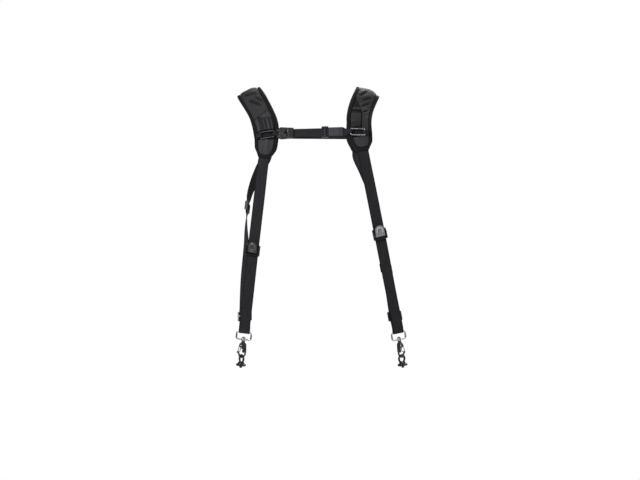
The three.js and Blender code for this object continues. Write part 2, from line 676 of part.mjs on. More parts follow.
// The cam lock's lever: a hub on the pin with an arched thumb plate, made about the hinge axis
function camLever() {
  const half = LEVER_WIDTH / 2;
  const steps = 8;
  const arch = Array.from({ length: steps + 1 }, (_, i) => {
    const angle = (Math.PI * i) / steps;
    return [half * Math.cos(angle), LEVER_HEIGHT - half + half * Math.sin(angle) * 1.1];
  });
  const thumb = plate([[-half, 0], [half, 0], ...arch], -CAM_HUB_RADIUS, LEVER_THICK - CAM_HUB_RADIUS)
    .rotateX(radians(LEVER_TILT));
  const hub = post(CAM_HUB_RADIUS, -half, half).rotateY(Math.PI / 2);
  const pinEnd = CAM_EAR_IN + CAM_EAR;
  return join(hub, post(CAM_PIN_RADIUS, -pinEnd, pinEnd).rotateY(Math.PI / 2), thumb);
}

for (const [side, { front, rear }] of Object.entries(ROUTES)) {
  const { sign } = PADS[side];
  const on = (way, height, up) => {
    const { at, along, across } = way.stationAt(way.shareAtHeight(height));
    return groupAt(at, across.clone().multiplyScalar(sign), along.clone().multiplyScalar(up));
  };
  const lock = on(front, -CAM_DROP[side], -1);
  add(`cam_frame_${side}`, camFrame(), 'plastic', lock);
  add(`cam_lever_${side}`, camLever(), 'lever', lock).position.set(0, CAM_AXIS_Y, CAM_AXIS_Z);
  for (const [name, drop] of [['rear_slider', SLIDER_DROP], ['rear_adjuster', ADJUSTER_DROP[side]]]) {
    add(`${name}_${side}`, slider(STRAP_WIDTH, STRAP_THICK, SLIDER_HEIGHT), 'plastic', on(rear, -drop, 1));
  }
}

// Swivel eye: a rounded wire loop with a bored boss in its bottom bar
const EYE_BAR = -(EYE_INNER_HEIGHT + EYE_WIRE);
const BOSS_TOP = EYE_BAR + BOSS_HEIGHT / 2;
const BOSS_FOOT = EYE_BAR - BOSS_HEIGHT / 2;

function swivelEye() {
  const outline = roundedRectangle(
    EYE_INNER_WIDTH + EYE_WIRE, EYE_INNER_HEIGHT + EYE_WIRE, EYE_CORNER, 3, vector(0, 0, EYE_BAR / 2));
  const loop = wire(outline, vector(0, 1, 0), EYE_WIRE / 2, 8, true);
  return cut(
    join(loop, post(BOSS_RADIUS, BOSS_FOOT, BOSS_TOP)),
    post(POST_RADIUS + PIVOT_PLAY, BOSS_FOOT - 1, BOSS_TOP + 1),
  );
}

// Swivel hook: post with its head, flat body with a raised spine, and the bow up to its nose
const NECK_TOP = BOSS_FOOT - GAP;
const BODY_TOP = NECK_TOP - NECK_HEIGHT;
const BODY_FOOT = BODY_TOP - HOOK_BODY_HEIGHT;
const BOW_HALF = HOOK_THROAT / 2 + HOOK_WIRE / 2 - 1.5;
const BOW_Z = BODY_FOOT - 2;
const GATE_AXIS = { x: -HOOK_BODY_WIDTH / 2 + 2, z: BODY_TOP - 5 };

function swivelHook() {
  const right = vector(1, 0, 0);
  const up = vector(0, 0, 1);
  const half = HOOK_BODY_WIDTH / 2;
  const body = plate([
    [-POST_RADIUS - 1, BODY_TOP + 1], [POST_RADIUS + 1, BODY_TOP + 1], [half, BODY_TOP - 4],
    [half + 2, BODY_FOOT], [0.5, BODY_FOOT], [0.5, BODY_FOOT + 8], [3 - half, BODY_FOOT + 11],
    [-half - 1, BODY_TOP - 8], [-half - 1, BODY_TOP - 3],
  ], -HOOK_BODY_THICK / 2, HOOK_BODY_THICK / 2);
  const spine = box(
    half / 4, half - 0.5, -HOOK_BODY_THICK / 2 - 1, HOOK_BODY_THICK / 2 + 1,
    BODY_FOOT + 2, BODY_TOP - 5,
  );
  const bow = wire([
    vector(BOW_HALF, 0, BODY_FOOT + 3),
    ...arc(vector(0, 0, BOW_Z), BOW_HALF, 0, -180, 10, right, up),
    vector(-BOW_HALF - NOSE_REACH * 0.35, 0, BOW_Z + NOSE_RISE * 0.5),
    vector(-BOW_HALF - NOSE_REACH, 0, BOW_Z + NOSE_RISE),
  ], vector(0, 1, 0), HOOK_WIRE / 2, 8, false);
  const head = BOSS_TOP + GAP;
  const turned = new THREE.LatheGeometry([
    [0, BODY_TOP], [BOSS_RADIUS - 0.8, BODY_TOP], [BOSS_RADIUS - 0.4, NECK_TOP], [POST_RADIUS, NECK_TOP],
    [POST_RADIUS, head], [POST_HEAD_RADIUS, head], [POST_HEAD_RADIUS, head + POST_HEAD_HEIGHT / 2],
    [POST_HEAD_RADIUS * 0.6, head + POST_HEAD_HEIGHT], [0, head + POST_HEAD_HEIGHT],
  ].map(([radius, height]) => new THREE.Vector2(radius, height)), 16).rotateX(Math.PI / 2);
  const hinge = post(GATE_WIRE / 2 + PIVOT_PLAY, -HOOK_BODY_THICK, HOOK_BODY_THICK, 12)
    .rotateX(Math.PI / 2).translate(GATE_AXIS.x, 0, GATE_AXIS.z);
  return cut(join(body, spine, turned, bow), hinge);
}

// Wire gate: a flat loop whose upper bar is the hinge and whose lower bar rests inside the nose
function wireGate() {
  const width = HOOK_BODY_THICK + 2 * GAP + GATE_WIRE;
  const height = GATE_LENGTH - GATE_WIRE;
  const outline = roundedRectangle(width, height, 1.4, 2, vector(0, 0, -height / 2));
  return wire(outline, vector(0, 1, 0), GATE_WIRE / 2, 6, true)
    .rotateZ(Math.PI / 2).rotateY(radians(GATE_LEAN));
}

// Ring fastener: a ring standing on a round foot and flange, with its screw stud, made about the bow's wire
function ringFastener() {
  const mean = RING_HOLE_RADIUS + RING_WIRE / 2;
  const centre = HOOK_WIRE / 2 + GAP - RING_HOLE_RADIUS;
  const circle = arc(vector(0, 0, centre), mean, 0, 360, 20, vector(0, 1, 0), vector(0, 0, 1)).slice(0, -1);
  const ring = wire(circle, vector(1, 0, 0), RING_WIRE / 2, 8, true);
  const footTop = centre - RING_HOLE_RADIUS - RING_WIRE * 0.3;
  const flangeTop = centre - mean - RING_WIRE / 2 - 1;
  const flangeFoot = flangeTop - FLANGE_HEIGHT;
  return join(
    ring,
    post(FLANGE_RADIUS * 0.64, flangeTop - 1, footTop, 20),
    post(FLANGE_RADIUS, flangeFoot, flangeTop, 24),
    post(STUD_RADIUS, flangeFoot - STUD_LENGTH, flangeFoot + 1, 16),
  );
}

for (const [side, eye] of Object.entries(EYES)) {
  const { sign } = PADS[side];
  const axis = vector(0, 0, 1).applyQuaternion(eye.quaternion);
  const level = turned(sign > 0 ? HOOK_TURN[side] : 180 - HOOK_TURN[side]);
  const hook = groupAt(eye.position.clone(), squared(level, axis), axis);
  add(`swivel_eye_${side}`, swivelEye(), 'bright', eye);
  add(`swivel_hook_${side}`, swivelHook(), 'gunmetal', hook);
  add(`hook_gate_${side}`, wireGate(), 'gunmetal', hook).position.set(GATE_AXIS.x, 0, GATE_AXIS.z);
  add(`ring_fastener_${side}`, ringFastener(), 'black_metal', hook).position.set(0, 0, BOW_Z - BOW_HALF);
}

// Chest rings and the webbing tabs that hold them on the pads
const RING_MID = (RING_LONG - RING_BAR) / 2;
const TAB_OFFSET = RING_BAR / 2 + GAP + CHEST_THICK / 2;
const RINGS = {};

// Webbing once round a bar along Z at the local origin, opening towards -X or +X
const barTurn = (towards, width) => [-90, -60, -30, 0, 30, 60, 90].map((angle) => ({
  at: vector(-towards * TAB_OFFSET * Math.cos(radians(angle)), TAB_OFFSET * Math.sin(radians(angle)), 0),
  across: vector(0, 0, 1),
  width,
}));

const chestPlace = (pad) => pad.atHeight(-CHEST_DROP[pad.side]);
const barUp = Object.values(PADS)
  .reduce((sum, pad) => sum.add(pad.frame(chestPlace(pad)).along), vector(0, 0, 0)).normalize();

for (const [side, pad] of Object.entries(PADS)) {
  const s = chestPlace(pad);
  const t = pad.half(s) - RING_INSET[side];
  const lift = Math.max(
    pad.crown(s, t - RING_MID) + GAP + CHEST_THICK + GAP + RING_BAR / 2,
    PAD_EDGE + PAD_CROWN + LAYER_GAP + RING_BAR / 2,
  ) + GAP;
  const { across } = pad.frame(s);
  const x = across.clone().addScaledVector(barUp, -across.dot(barUp));
  const group = groupAt(pad.place(s, t, lift), x, barUp.clone().multiplyScalar(pad.sign));
  const outline = roundedRectangle(RING_LONG - RING_BAR, RING_TALL - RING_BAR, RING_CORNER, 2);
  add(`chest_ring_${side}`, wire(outline, vector(0, 1, 0), RING_BAR / 2, 6, true),
    side === 'left' ? 'bright' : 'black_metal', group);
  const ends = [TAB_OFFSET, -TAB_OFFSET].map((y) => ({
    at: vector(-TAB_LENGTH, y, 0), across: vector(0, 0, 1), width: TAB_WIDTH }));
  const tab = [ends[1], ...barTurn(-1, TAB_WIDTH), ends[0]];
  add(`chest_tab_${side}`, ribbon(tab, CHEST_THICK).translate(-RING_MID, 0, 0), 'webbing', group);
  RINGS[side] = group;
}

// Chest strap, made on the line between the two rings' inner bars
const barAt = (side) => RINGS[side].localToWorld(vector(RING_MID, 0, 0));
const chestFrom = barAt('right');
const chestRun = barAt('left').sub(chestFrom);
const CHEST_SPAN = chestRun.length();
const chest = groupAt(chestFrom, chestRun, barUp);

const SOCKET_TO = SOCKET_BAR + 0.6 * BUCKLE_LENGTH;
const PLUG_TO = SOCKET_BAR + BUCKLE_LENGTH - 2;
const PRONG_HALF = BUCKLE_THICK / 2 - BUCKLE_WALL - GAP;
const CAVITY_HALF = BUCKLE_WIDTH / 2 - BUCKLE_WALL - 1.6;

function buckleSocket() {
  const half = BUCKLE_WIDTH / 2;
  const body = plate([
    [SOCKET_FROM, 2 - half], [SOCKET_FROM + 5, -half], [SOCKET_TO, 1 - half],
    [SOCKET_TO, half - 1], [SOCKET_FROM + 5, half], [SOCKET_FROM, half - 2],
  ], -BUCKLE_THICK / 2, BUCKLE_THICK / 2);
  const [armFrom, armTo] = [TAB_WIDTH / 2 + GAP, half - 3];
  const arms = [[armFrom, armTo], [-armTo, -armFrom]].map(([low, high]) => (
    box(SOCKET_BAR - RING_BAR / 2, SOCKET_FROM + 1, -RING_BAR / 2, RING_BAR / 2, low, high)));
  const bar = post(RING_BAR / 2, -half + 4, half - 4, 10).translate(SOCKET_BAR, 0, 0);
  const deep = PRONG_HALF + GAP;
  const cavity = box(SOCKET_FROM + 3, SOCKET_TO + 1, -deep, deep, -CAVITY_HALF, CAVITY_HALF);
  const windows = box(SOCKET_FROM + 6, SOCKET_TO - 5, -deep, deep, -half - 1, half + 1);
  return cut(join(body, ...arms, bar), cavity, windows);
}

function bucklePlug() {
  const half = BUCKLE_WIDTH / 2;
  const from = SOCKET_TO + GAP;
  const inside = CAVITY_HALF - GAP;
  const prong = (end) => plate([
    [SOCKET_FROM + 5, 5.5],
    [SOCKET_FROM + 6.5, half - 2],
    [SOCKET_TO - 6, half - 0.6],
    [SOCKET_TO - 5.4, inside],
    [from + 1, inside],
    [from + 1, inside - 3],
    [SOCKET_TO - 7, 5],
  ].map(([x, z]) => [x, end * z]), -PRONG_HALF, PRONG_HALF);
  const guide = box(SOCKET_FROM + 4, from + 1, -PRONG_HALF, PRONG_HALF, -1.6, 1.6);
  const tail = plate([
    [from, 1 - half], [PLUG_TO, 2 - half], [PLUG_TO, half - 2], [from, half - 1],
  ], -BUCKLE_THICK / 2, BUCKLE_THICK / 2);
  const tall = CHEST_WIDTH / 2 + GAP;
  const deep = CHEST_THICK / 2 + GAP;
  const pocket = box(PLUG_TO - POCKET_DEPTH, PLUG_TO + 1, -deep, deep, -tall, tall);
  return cut(join(prong(-1), prong(1), guide, tail), pocket);
}

// The short loop between the right ring and the socket's bar, closed round both
function chestLoop() {
  const right = vector(1, 0, 0);
  const back = vector(0, 1, 0);
  const path = [
    ...arc(vector(SOCKET_BAR, 0, 0), TAB_OFFSET, -90, 90, 6, right, back),
    ...arc(vector(0, 0, 0), TAB_OFFSET, 90, 270, 6, right, back),
  ];
  return loft(path.map((at, i) => {
    const centre = vector(i < 7 ? SOCKET_BAR : 0, 0, 0);
    const away = at.clone().sub(centre).normalize();
    return [[1, 1], [-1, 1], [-1, -1], [1, -1]].map(([side, lift]) => (
      at.clone().addScaledVector(vector(0, 0, 1), (side * TAB_WIDTH) / 2)
        .addScaledVector(away, (lift * CHEST_THICK) / 2)));
  }), true);
}

// Chest webbing from the plug to the left ring, narrowed where it folds round the ring's bar
const station = (x, y, width) => ({ at: vector(x, y, 0), across: vector(0, 0, 1), width });
const chestSliderX = CHEST_SLIDER_SHARE * CHEST_SPAN;
const foldFrom = CHEST_SPAN - TAPER;
const fold = barTurn(-1, TAB_WIDTH).map(({ at, across, width }) => (
  { at: at.clone().add(vector(CHEST_SPAN, 0, 0)), across, width }));

add('chest_loop', chestLoop(), 'webbing', chest);
add('buckle_socket', buckleSocket(), 'plastic', chest);
add('buckle_plug', bucklePlug(), 'plastic', chest);
add('chest_webbing', ribbon([
  station(PLUG_TO - POCKET_DEPTH + GAP, 0, CHEST_WIDTH),
  station(chestSliderX - CHEST_SLIDER_HEIGHT, 0, CHEST_WIDTH),
  station(chestSliderX + CHEST_SLIDER_HEIGHT, 0, CHEST_WIDTH),
  station(foldFrom, 0, CHEST_WIDTH),
  station(CHEST_SPAN - TAPER / 2, -TAB_OFFSET * 0.8, TAB_WIDTH + 1),
  station(CHEST_SPAN - RING_BAR, -TAB_OFFSET, TAB_WIDTH),
  ...fold,
  station(CHEST_SPAN - RING_BAR, TAB_OFFSET, TAB_WIDTH),
  station(foldFrom, TAB_OFFSET + CHEST_THICK, TAB_WIDTH),
], CHEST_THICK), 'webbing', chest);
add('chest_doubling', ribbon([
  station(chestSliderX + CHEST_SLIDER_HEIGHT / 2 + GAP, -CHEST_THICK - GAP, CHEST_WIDTH + 1.6),
  station(foldFrom - 1, -CHEST_THICK - GAP, CHEST_WIDTH + 1.6),
], CHEST_THICK), 'webbing', chest);
const chestSlider = slider(CHEST_WIDTH, CHEST_THICK, CHEST_SLIDER_HEIGHT).rotateY(Math.PI / 2);
add('chest_slider', chestSlider, 'plastic', chest).position.set(chestSliderX, 0, 0);

// A plain link behind, sewn on the pads' inner edges
const linkEnd = (side) => {
  const pad = PADS[side];
  const s = pad.atHeight(-LINK_DROP, true);
  const width = CHEST_WIDTH;
  const across = pad.frame(s).along.clone().negate();
  const [lap, edge] = [pad.half(s) - LINK_LAP, pad.half(s) + LINK_OVERHANG];
  const onPad = pad.crown(s, lap) + 2 * LAYER_GAP + CHEST_THICK / 2;
  const onBinding = PAD_EDGE + GAP + BINDING_THICK + LAYER_GAP + CHEST_THICK / 2;
  return [[lap, onPad], [edge, onBinding]].map(([t, h]) => ({ at: pad.place(s, t, h), across, width }));
};
const linkLeft = linkEnd('left').reverse();
add('back_link', ribbon([...linkEnd('right'), ...linkLeft], CHEST_THICK), 'webbing');

export default harness;
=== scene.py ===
# A dual camera harness as it is worn: two padded shoulder pads, a chest strap, and two webbing loops
# that end in swivel hooks and ring fasteners. Metres, +Z up, the wearer faces -Y.
import math

import bmesh
import bpy
import numpy as np
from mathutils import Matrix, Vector


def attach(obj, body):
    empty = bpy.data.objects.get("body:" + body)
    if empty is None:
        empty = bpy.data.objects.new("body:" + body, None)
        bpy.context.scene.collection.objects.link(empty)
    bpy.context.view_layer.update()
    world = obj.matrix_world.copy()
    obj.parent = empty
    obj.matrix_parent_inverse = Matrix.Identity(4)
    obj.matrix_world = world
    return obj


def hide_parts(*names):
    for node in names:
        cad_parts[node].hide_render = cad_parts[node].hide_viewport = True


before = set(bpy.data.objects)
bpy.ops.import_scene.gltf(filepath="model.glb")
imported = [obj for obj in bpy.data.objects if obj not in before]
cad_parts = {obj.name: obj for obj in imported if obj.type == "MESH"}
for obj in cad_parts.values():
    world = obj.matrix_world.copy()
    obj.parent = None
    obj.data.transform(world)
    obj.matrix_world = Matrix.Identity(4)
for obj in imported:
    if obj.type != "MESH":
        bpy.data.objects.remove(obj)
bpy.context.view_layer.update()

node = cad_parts
SIDES = {"right": 1, "left": -1}

# Studio: a pale floor far below the worn harness, and a surround that the camera sees as white but that sheds
# much less light. Three square area lights and a camera a little above the shoulders, looking slightly down;
# one picture pixel is 2.2 mm at the webbing.
PIXEL = 0.0022
VIEW_WIDTH = 640 * PIXEL
VIEW_ANGLE = math.radians(28)
WEBBING_DEPTH = -0.11
VIEW_CENTRE_X = 0.0264
VIEW_CENTRE_Z = -0.3213
LOOK_DOWN = math.radians(5.5)
FLOOR_DROP = 1.42
FLOOR_SIZE = 3.6
PALE = (0.86, 0.86, 0.86, 1.0)
WHITE = (1.0, 1.0, 1.0, 1.0)
SURROUND_LIGHT = 0.17
LIGHT_AIM = (0.02, 0.0, -0.28)

camera = bpy.data.objects.new("camera", bpy.data.cameras.new("camera"))
camera.data.sensor_width = 36.0
camera.data.angle = VIEW_ANGLE
distance = VIEW_WIDTH / 2 / math.tan(VIEW_ANGLE / 2)
camera.location = (
    VIEW_CENTRE_X,
    WEBBING_DEPTH - distance * math.cos(LOOK_DOWN),
    VIEW_CENTRE_Z + distance * math.sin(LOOK_DOWN),
)
camera.rotation_euler = (math.pi / 2 - LOOK_DOWN, 0, 0)
bpy.context.scene.collection.objects.link(camera)
bpy.context.scene.camera = camera
bpy.context.scene.view_settings.view_transform = "Standard"


def soft_light(name, place, size, power):
    """A square area light at a place, turned to face the middle of the harness."""
    light = bpy.data.objects.new(name, bpy.data.lights.new(name, "AREA"))
    light.data.size = size
    light.data.energy = power
    light.location = place
    light.rotation_euler = (Vector(LIGHT_AIM) - light.location).to_track_quat("-Z", "Y").to_euler()
    bpy.context.scene.collection.objects.link(light)


soft_light("key", (-1.5, -2.1, 1.3), 1.0, 96)
soft_light("fill", (1.9, -1.7, 0.4), 1.6, 22)
soft_light("rim", (0.6, 2.2, 1.6), 1.4, 70)

world = bpy.data.worlds.new("surround")
world.use_nodes = True
surround = world.node_tree
seen = surround.nodes["Background"]
seen.inputs["Color"].default_value = WHITE
shed = surround.nodes.new("ShaderNodeBackground")
shed.inputs["Color"].default_value = WHITE
shed.inputs["Strength"].default_value = SURROUND_LIGHT
rays = surround.nodes.new("ShaderNodeLightPath")
choice = surround.nodes.new("ShaderNodeMixShader")
surround.links.new(rays.outputs["Is Camera Ray"], choice.inputs["Fac"])
surround.links.new(shed.outputs["Background"], choice.inputs[1])
surround.links.new(seen.outputs["Background"], choice.inputs[2])
surround.links.new(choice.outputs["Shader"], surround.nodes["World Output"].inputs["Surface"])
bpy.context.scene.world = world


def new_mesh(name, points, faces, smooth=True):
    """A mesh object from points (n, 3) and quads or triangles (m, k), facing outwards as they are."""
    mesh = bpy.data.meshes.new(name)
    count = faces.shape[1]
    mesh.vertices.add(len(points))
    mesh.vertices.foreach_set("co", np.ascontiguousarray(points, np.float32).ravel())
    mesh.loops.add(faces.size)
    mesh.loops.foreach_set("vertex_index", faces.astype(np.int32).ravel())
    mesh.polygons.add(len(faces))
    mesh.polygons.foreach_set("loop_start", np.arange(0, faces.size, count, dtype=np.int32))
    mesh.polygons.foreach_set("use_smooth", np.full(len(faces), smooth))
    mesh.update(calc_edges=True)
    obj = bpy.data.objects.new(name, mesh)
    bpy.context.scene.collection.objects.link(obj)
    return obj


floor_half = FLOOR_SIZE / 2
floor = new_mesh(
    "floor",
    np.array([[-1, -1, 0], [1, -1, 0], [1, 1, 0], [-1, 1, 0]]) * floor_half - [0, 0, FLOOR_DROP],
    np.array([[0, 1, 2, 3]]),
)
floor_finish = bpy.data.materials.new("pale_floor")
floor_finish.use_nodes = True
floor_shader = floor_finish.node_tree.nodes["Principled BSDF"]
floor_shader.inputs["Base Color"].default_value = PALE
floor_shader.inputs["Roughness"].default_value = 0.9
floor.data.materials.append(floor_finish)

# Shoulder pads: foam cut to a long curved outline that lies over the shoulder, covered in nylon on the
# outside and in spacer mesh on the wearer's side. The foam swells between its bound edges.
CREST_HALF = 0.133
PAD_REACH = 0.107
PAD_DROP = {"right": (0.1415, 0.134), "left": (0.1255, 0.134)}
PAD_HALF_WIDTH = 0.027
PAD_EDGE = 0.005
PAD_CROWN = 0.0045
CROWN_FADE = 0.02
LIP = 0.006
STRAP_WIDTH = 0.025
END_SHARE = STRAP_WIDTH / 2 / PAD_HALF_WIDTH
# Columns: across, depth and height as shares of the crest's half spacing, the reach and the drop, the
# rise and the forward turn of the width in degrees, and the half width as a share.
PAD_ROWS = {
    "right": [
        (0.718, -1, 1, 0, 12, END_SHARE),
        (0.689, -0.95, 0.846, 2, 12, 0.88),
        (0.679, -0.87, 0.673, 4, 13, 0.96),
        (0.69, -0.77, 0.519, 10, 13, 1),
        (0.81, -0.47, 0.258, 33, 9, 1),
        (1, 0, 0, 22, 0, 1),
        (0.88, 0.45, 0.2, 20, -6, 1),
        (0.78, 0.79, 0.52, 8, -12, 1),
        (0.75, 0.94, 0.79, 2, -12, 0.94),
        (0.745, 1, 1, 0, -12, END_SHARE),
    ],
    "left": [
        (0.902, -1, 1, -2, 12, END_SHARE),
        (0.878, -0.95, 0.847, 0, 12, 0.86),
        (0.854, -0.87, 0.675, 2, 13, 0.96),
        (0.84, -0.74, 0.493, 6, 13, 1),
        (0.885, -0.43, 0.255, 20, 8, 1),
        (1, 0, 0, 24, 0, 1),
        (0.92, 0.45, 0.2, 20, -6, 1),
        (0.87, 0.79, 0.52, 8, -12, 1),
        (0.86, 0.94, 0.79, 2, -12, 0.94),
        (0.86, 1, 1, 0, -12, END_SHARE),
    ],
}
CURVE_SAMPLES = 1200


def curve_through(points, tension=None):
    """A smooth curve through points: cubics whose end slopes come from the neighbours, weighed by the
    square roots of their distances, or evenly with the given tension."""
    p = np.asarray(points, float)
    p = np.vstack([2 * p[0] - p[1], p, 2 * p[-1] - p[-2]])
    t = np.linspace(0, len(p) - 3, CURVE_SAMPLES)
    i = np.minimum(t.astype(int), len(p) - 4)
    w = (t - i)[:, None]
    a, b, c, d = (p[i + k] for k in range(4))
    if tension is None:
        first, second, third = (
            np.sqrt(np.linalg.norm(q - r, axis=1, keepdims=True)) for q, r in ((b, a), (c, b), (d, c))
        )
        start = second * ((b - a) / first - (c - a) / (first + second)) + (c - b)
        end = second * ((d - c) / third - (d - b) / (second + third)) + (c - b)
    else:
        start, end = tension * (c - a), tension * (d - b)
    return (
        b
        + start * w
        + (3 * (c - b) - 2 * start - end) * w**2
        + (2 * (b - c) + start + end) * w**3
    )


def unit(v):
    """Directions: each vector over its length."""
    return v / np.linalg.norm(v, axis=-1, keepdims=True)


def lengths_along(points):
    """How far along its polyline each point lies."""
    return np.concatenate([[0], np.cumsum(np.linalg.norm(np.diff(points, axis=0), axis=1))])


def pad_surface(side):
    """Frames along a pad: place, width direction and outward direction by the length along it."""
    sign = SIDES[side]
    rows = np.array(PAD_ROWS[side], float)
    front, rear = PAD_DROP[side]
    drop = np.where(rows[:, 1] < 0, front, rear)
    centre = curve_through(
        np.stack([-sign * rows[:, 0] * CREST_HALF, rows[:, 1] * PAD_REACH, -rows[:, 2] * drop], axis=1)
    )
    slope, turn, half = curve_through(rows[:, 3:] * [1, 1, PAD_HALF_WIDTH], 0.3).T
    slope, turn = np.radians(slope), np.radians(turn)
    along = unit(np.gradient(centre, axis=0))
    across = np.stack(
        [sign * np.cos(slope) * np.cos(turn), -np.cos(slope) * np.sin(turn), np.sin(slope)], axis=1
    )
    across = unit(across - along * np.sum(across * along, axis=1, keepdims=True))
    out = sign * np.cross(across, along)
    s = lengths_along(centre)
    return {
        "sign": sign,
        "s": s,
        "length": s[-1],
        "at": centre,
        "along": along,
        "across": across,
        "out": out,
        "half": np.minimum(half, PAD_HALF_WIDTH),
    }


def looked_up(s, marks, values):
    """Rows of values at the lengths s, between their marks."""
    return np.stack([np.interp(s, marks, values[:, k]) for k in range(values.shape[1])], axis=-1)


def on_pad(pad, s, t, h):
    """The place at s along a pad, t towards the neck and h above its underside."""
    s, t, h = np.broadcast_arrays(s, t, h)
    inside = np.clip(s, 0, pad["length"])
    at, along, across, out = (
        looked_up(inside, pad["s"], pad[key]) for key in ("at", "along", "across", "out")
    )
    return at + along * (s - inside)[..., None] + across * t[..., None] + out * h[..., None]


def pad_half(pad, s):
    """The pad's half width at the length s."""
    return np.interp(s, pad["s"], pad["half"])


def crown(pad, s, t):
    """Height of the foam's top: level at the bound edge, a parabola between, fading at both ends."""
    flat = pad_half(pad, s) - LIP
    fade = np.clip(np.minimum(s, pad["length"] - s) / CROWN_FADE - 0.3, 0, 1)
    return PAD_EDGE + fade * PAD_CROWN * np.maximum(0, 1 - (t / flat) ** 2)


def length_at_height(pad, height):
    """The length along a pad's front half at which its middle has that height."""
    front = pad["s"] < pad["length"] * 0.48
    return np.interp(height, pad["at"][front, 2], pad["s"][front])


PADS = {side: pad_surface(side) for side in SIDES}


def grid_faces(rows, columns, closed_rows=False, closed_columns=False):
    """Quads of a grid of points, rows by columns, either way closed on itself or open."""
    r = np.arange(rows if closed_rows else rows - 1)[:, None]
    c = np.arange(columns if closed_columns else columns - 1)[None, :]
    r2, c2 = (r + 1) % rows, (c + 1) % columns
    corners = (r * columns + c, r2 * columns + c, r2 * columns + c2, r * columns + c2)
    return np.stack([np.broadcast_to(k, (r.size, c.size)).ravel() for k in corners], axis=1)


def facing_out(obj):
    """Merges doubled points and turns all faces outwards."""
    bm = bmesh.new()
    bm.from_mesh(obj.data)
    bmesh.ops.remove_doubles(bm, verts=bm.verts, dist=1e-6)
    bmesh.ops.recalc_face_normals(bm, faces=bm.faces)
    bm.to_mesh(obj.data)
    bm.free()
    obj.data.polygons.foreach_set("use_smooth", np.ones(len(obj.data.polygons), bool))
    return obj


def points_of(obj):
    """The places of a mesh's points as an array (n, 3)."""
    co = np.zeros(len(obj.data.vertices) * 3, np.float32)
    obj.data.vertices.foreach_get("co", co)
    return co.reshape(-1, 3).astype(float)


def step(tree, kind, values=None, **settings):
    """A shader node with its settings and socket values; a value that is a socket is linked."""
    made = tree.nodes.new(kind)
    for key, value in settings.items():
        setattr(made, key, value)
    for key, value in (values or {}).items():
        if isinstance(value, bpy.types.NodeSocket):
            tree.links.new(value, made.inputs[key])
        else:
            made.inputs[key].default_value = value
    return made


def waves(tree, coords, pitch, direction):
    """A sine from 0 to 1 with that pitch in metres, along X, Y or Z of the coordinates."""
    scale = math.pi / (10 * pitch)
    made = step(tree, "ShaderNodeTexWave", {"Vector": coords, "Scale": scale}, bands_direction=direction)
    return made.outputs["Fac"]


def mottle(tree, coords, size, detail=3.0):
    """Noise from 0 to 1 whose patches have about that size in metres."""
    made = step(tree, "ShaderNodeTexNoise", {"Vector": coords, "Scale": 1 / size, "Detail": detail})
    return made.outputs["Fac"]


def mixed(tree, first, second, share):
    """The weighted mean of two values, with that share of the second."""
    made = step(tree, "ShaderNodeMix", {"Factor": share, "A": first, "B": second})
    return made.outputs["Result"]


def times(tree, first, second):
    """The product of two values."""
    return step(tree, "ShaderNodeMath", {0: first, 1: second}, operation="MULTIPLY").outputs["Value"]


def finish(name, dark, light, shade, height, depth, roughness, **shine):
    """A material whose colour runs from dark to light and whose surface rises with the height. The two
    functions get the node tree and give a value from 0 to 1; shine holds the shader's even values."""
    material = bpy.data.materials.new(name)
    material.use_nodes = True
    tree = material.node_tree
    shader = tree.nodes["Principled BSDF"]
    tone = shade(tree)
    ramp = step(tree, "ShaderNodeValToRGB", {"Fac": tone})
    for stop, place, colour in zip(ramp.color_ramp.elements, (0.15, 0.85), (dark, light)):
        stop.position = place
        stop.color = (*colour, 1.0)
    tree.links.new(ramp.outputs["Color"], shader.inputs["Base Color"])
    ends = {"To Min": roughness[0], "To Max": roughness[1]}
    worn = step(tree, "ShaderNodeMapRange", {"Value": tone, **ends})
    tree.links.new(worn.outputs["Result"], shader.inputs["Roughness"])
    bump = step(tree, "ShaderNodeBump", {"Height": height(tree), "Distance": depth, "Strength": 1.0})
    tree.links.new(bump.outputs["Normal"], shader.inputs["Normal"])
    for key, value in shine.items():
        shader.inputs[key.replace("_", " ")].default_value = value
    return material


def own_map(tree):
    """The piece's own map: across in x and along in y, in metres."""
    return step(tree, "ShaderNodeUVMap", uv_map="cut").outputs["UV"]


def in_place(tree):
    """The place on the object itself, in metres."""
    return step(tree, "ShaderNodeTexCoord").outputs["Object"]


def tone_of(tree):
    """The piece's own lightness attribute, from 0 to 1."""
    return step(tree, "ShaderNodeAttribute", attribute_name="tone").outputs["Fac"]


def dress(obj, material, slot, body="root", *nodes):
    """Gives a finished piece its material, the body it rides on and the nodes it stands for. The slot is not
    used.
    """
    obj.data.materials.clear()
    obj.data.materials.append(material)
    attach(obj, body)
    if nodes:
        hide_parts(*nodes)
    return obj


def with_map(obj, across, along):
    """Stores a map in metres on a mesh whose points are still in the grid's order."""
    corner = np.zeros(len(obj.data.loops), np.int32)
    obj.data.loops.foreach_get("vertex_index", corner)
    uv = np.stack([np.ravel(across)[corner], np.ravel(along)[corner]], axis=1)
    obj.data.uv_layers.new(name="cut").data.foreach_set("uv", uv.astype(np.float32).ravel())
    return obj


def with_tone(obj, tone):
    """Stores a lightness from 0 to 1 for each point."""
    values = np.ascontiguousarray(np.ravel(tone), np.float32)
    obj.data.attributes.new("tone", "FLOAT", "POINT").data.foreach_set("value", values)
    return obj


CELL_SIZE = 0.0026


def spacer_cells(tree):
    """The knitted cells of the mesh: 0 along their walls and rising towards their middles."""
    cells = {"Vector": in_place(tree), "Scale": 1 / CELL_SIZE}
    wall = step(tree, "ShaderNodeTexVoronoi", cells, feature="DISTANCE_TO_EDGE")
    return times(tree, wall.outputs["Distance"], 2.2)


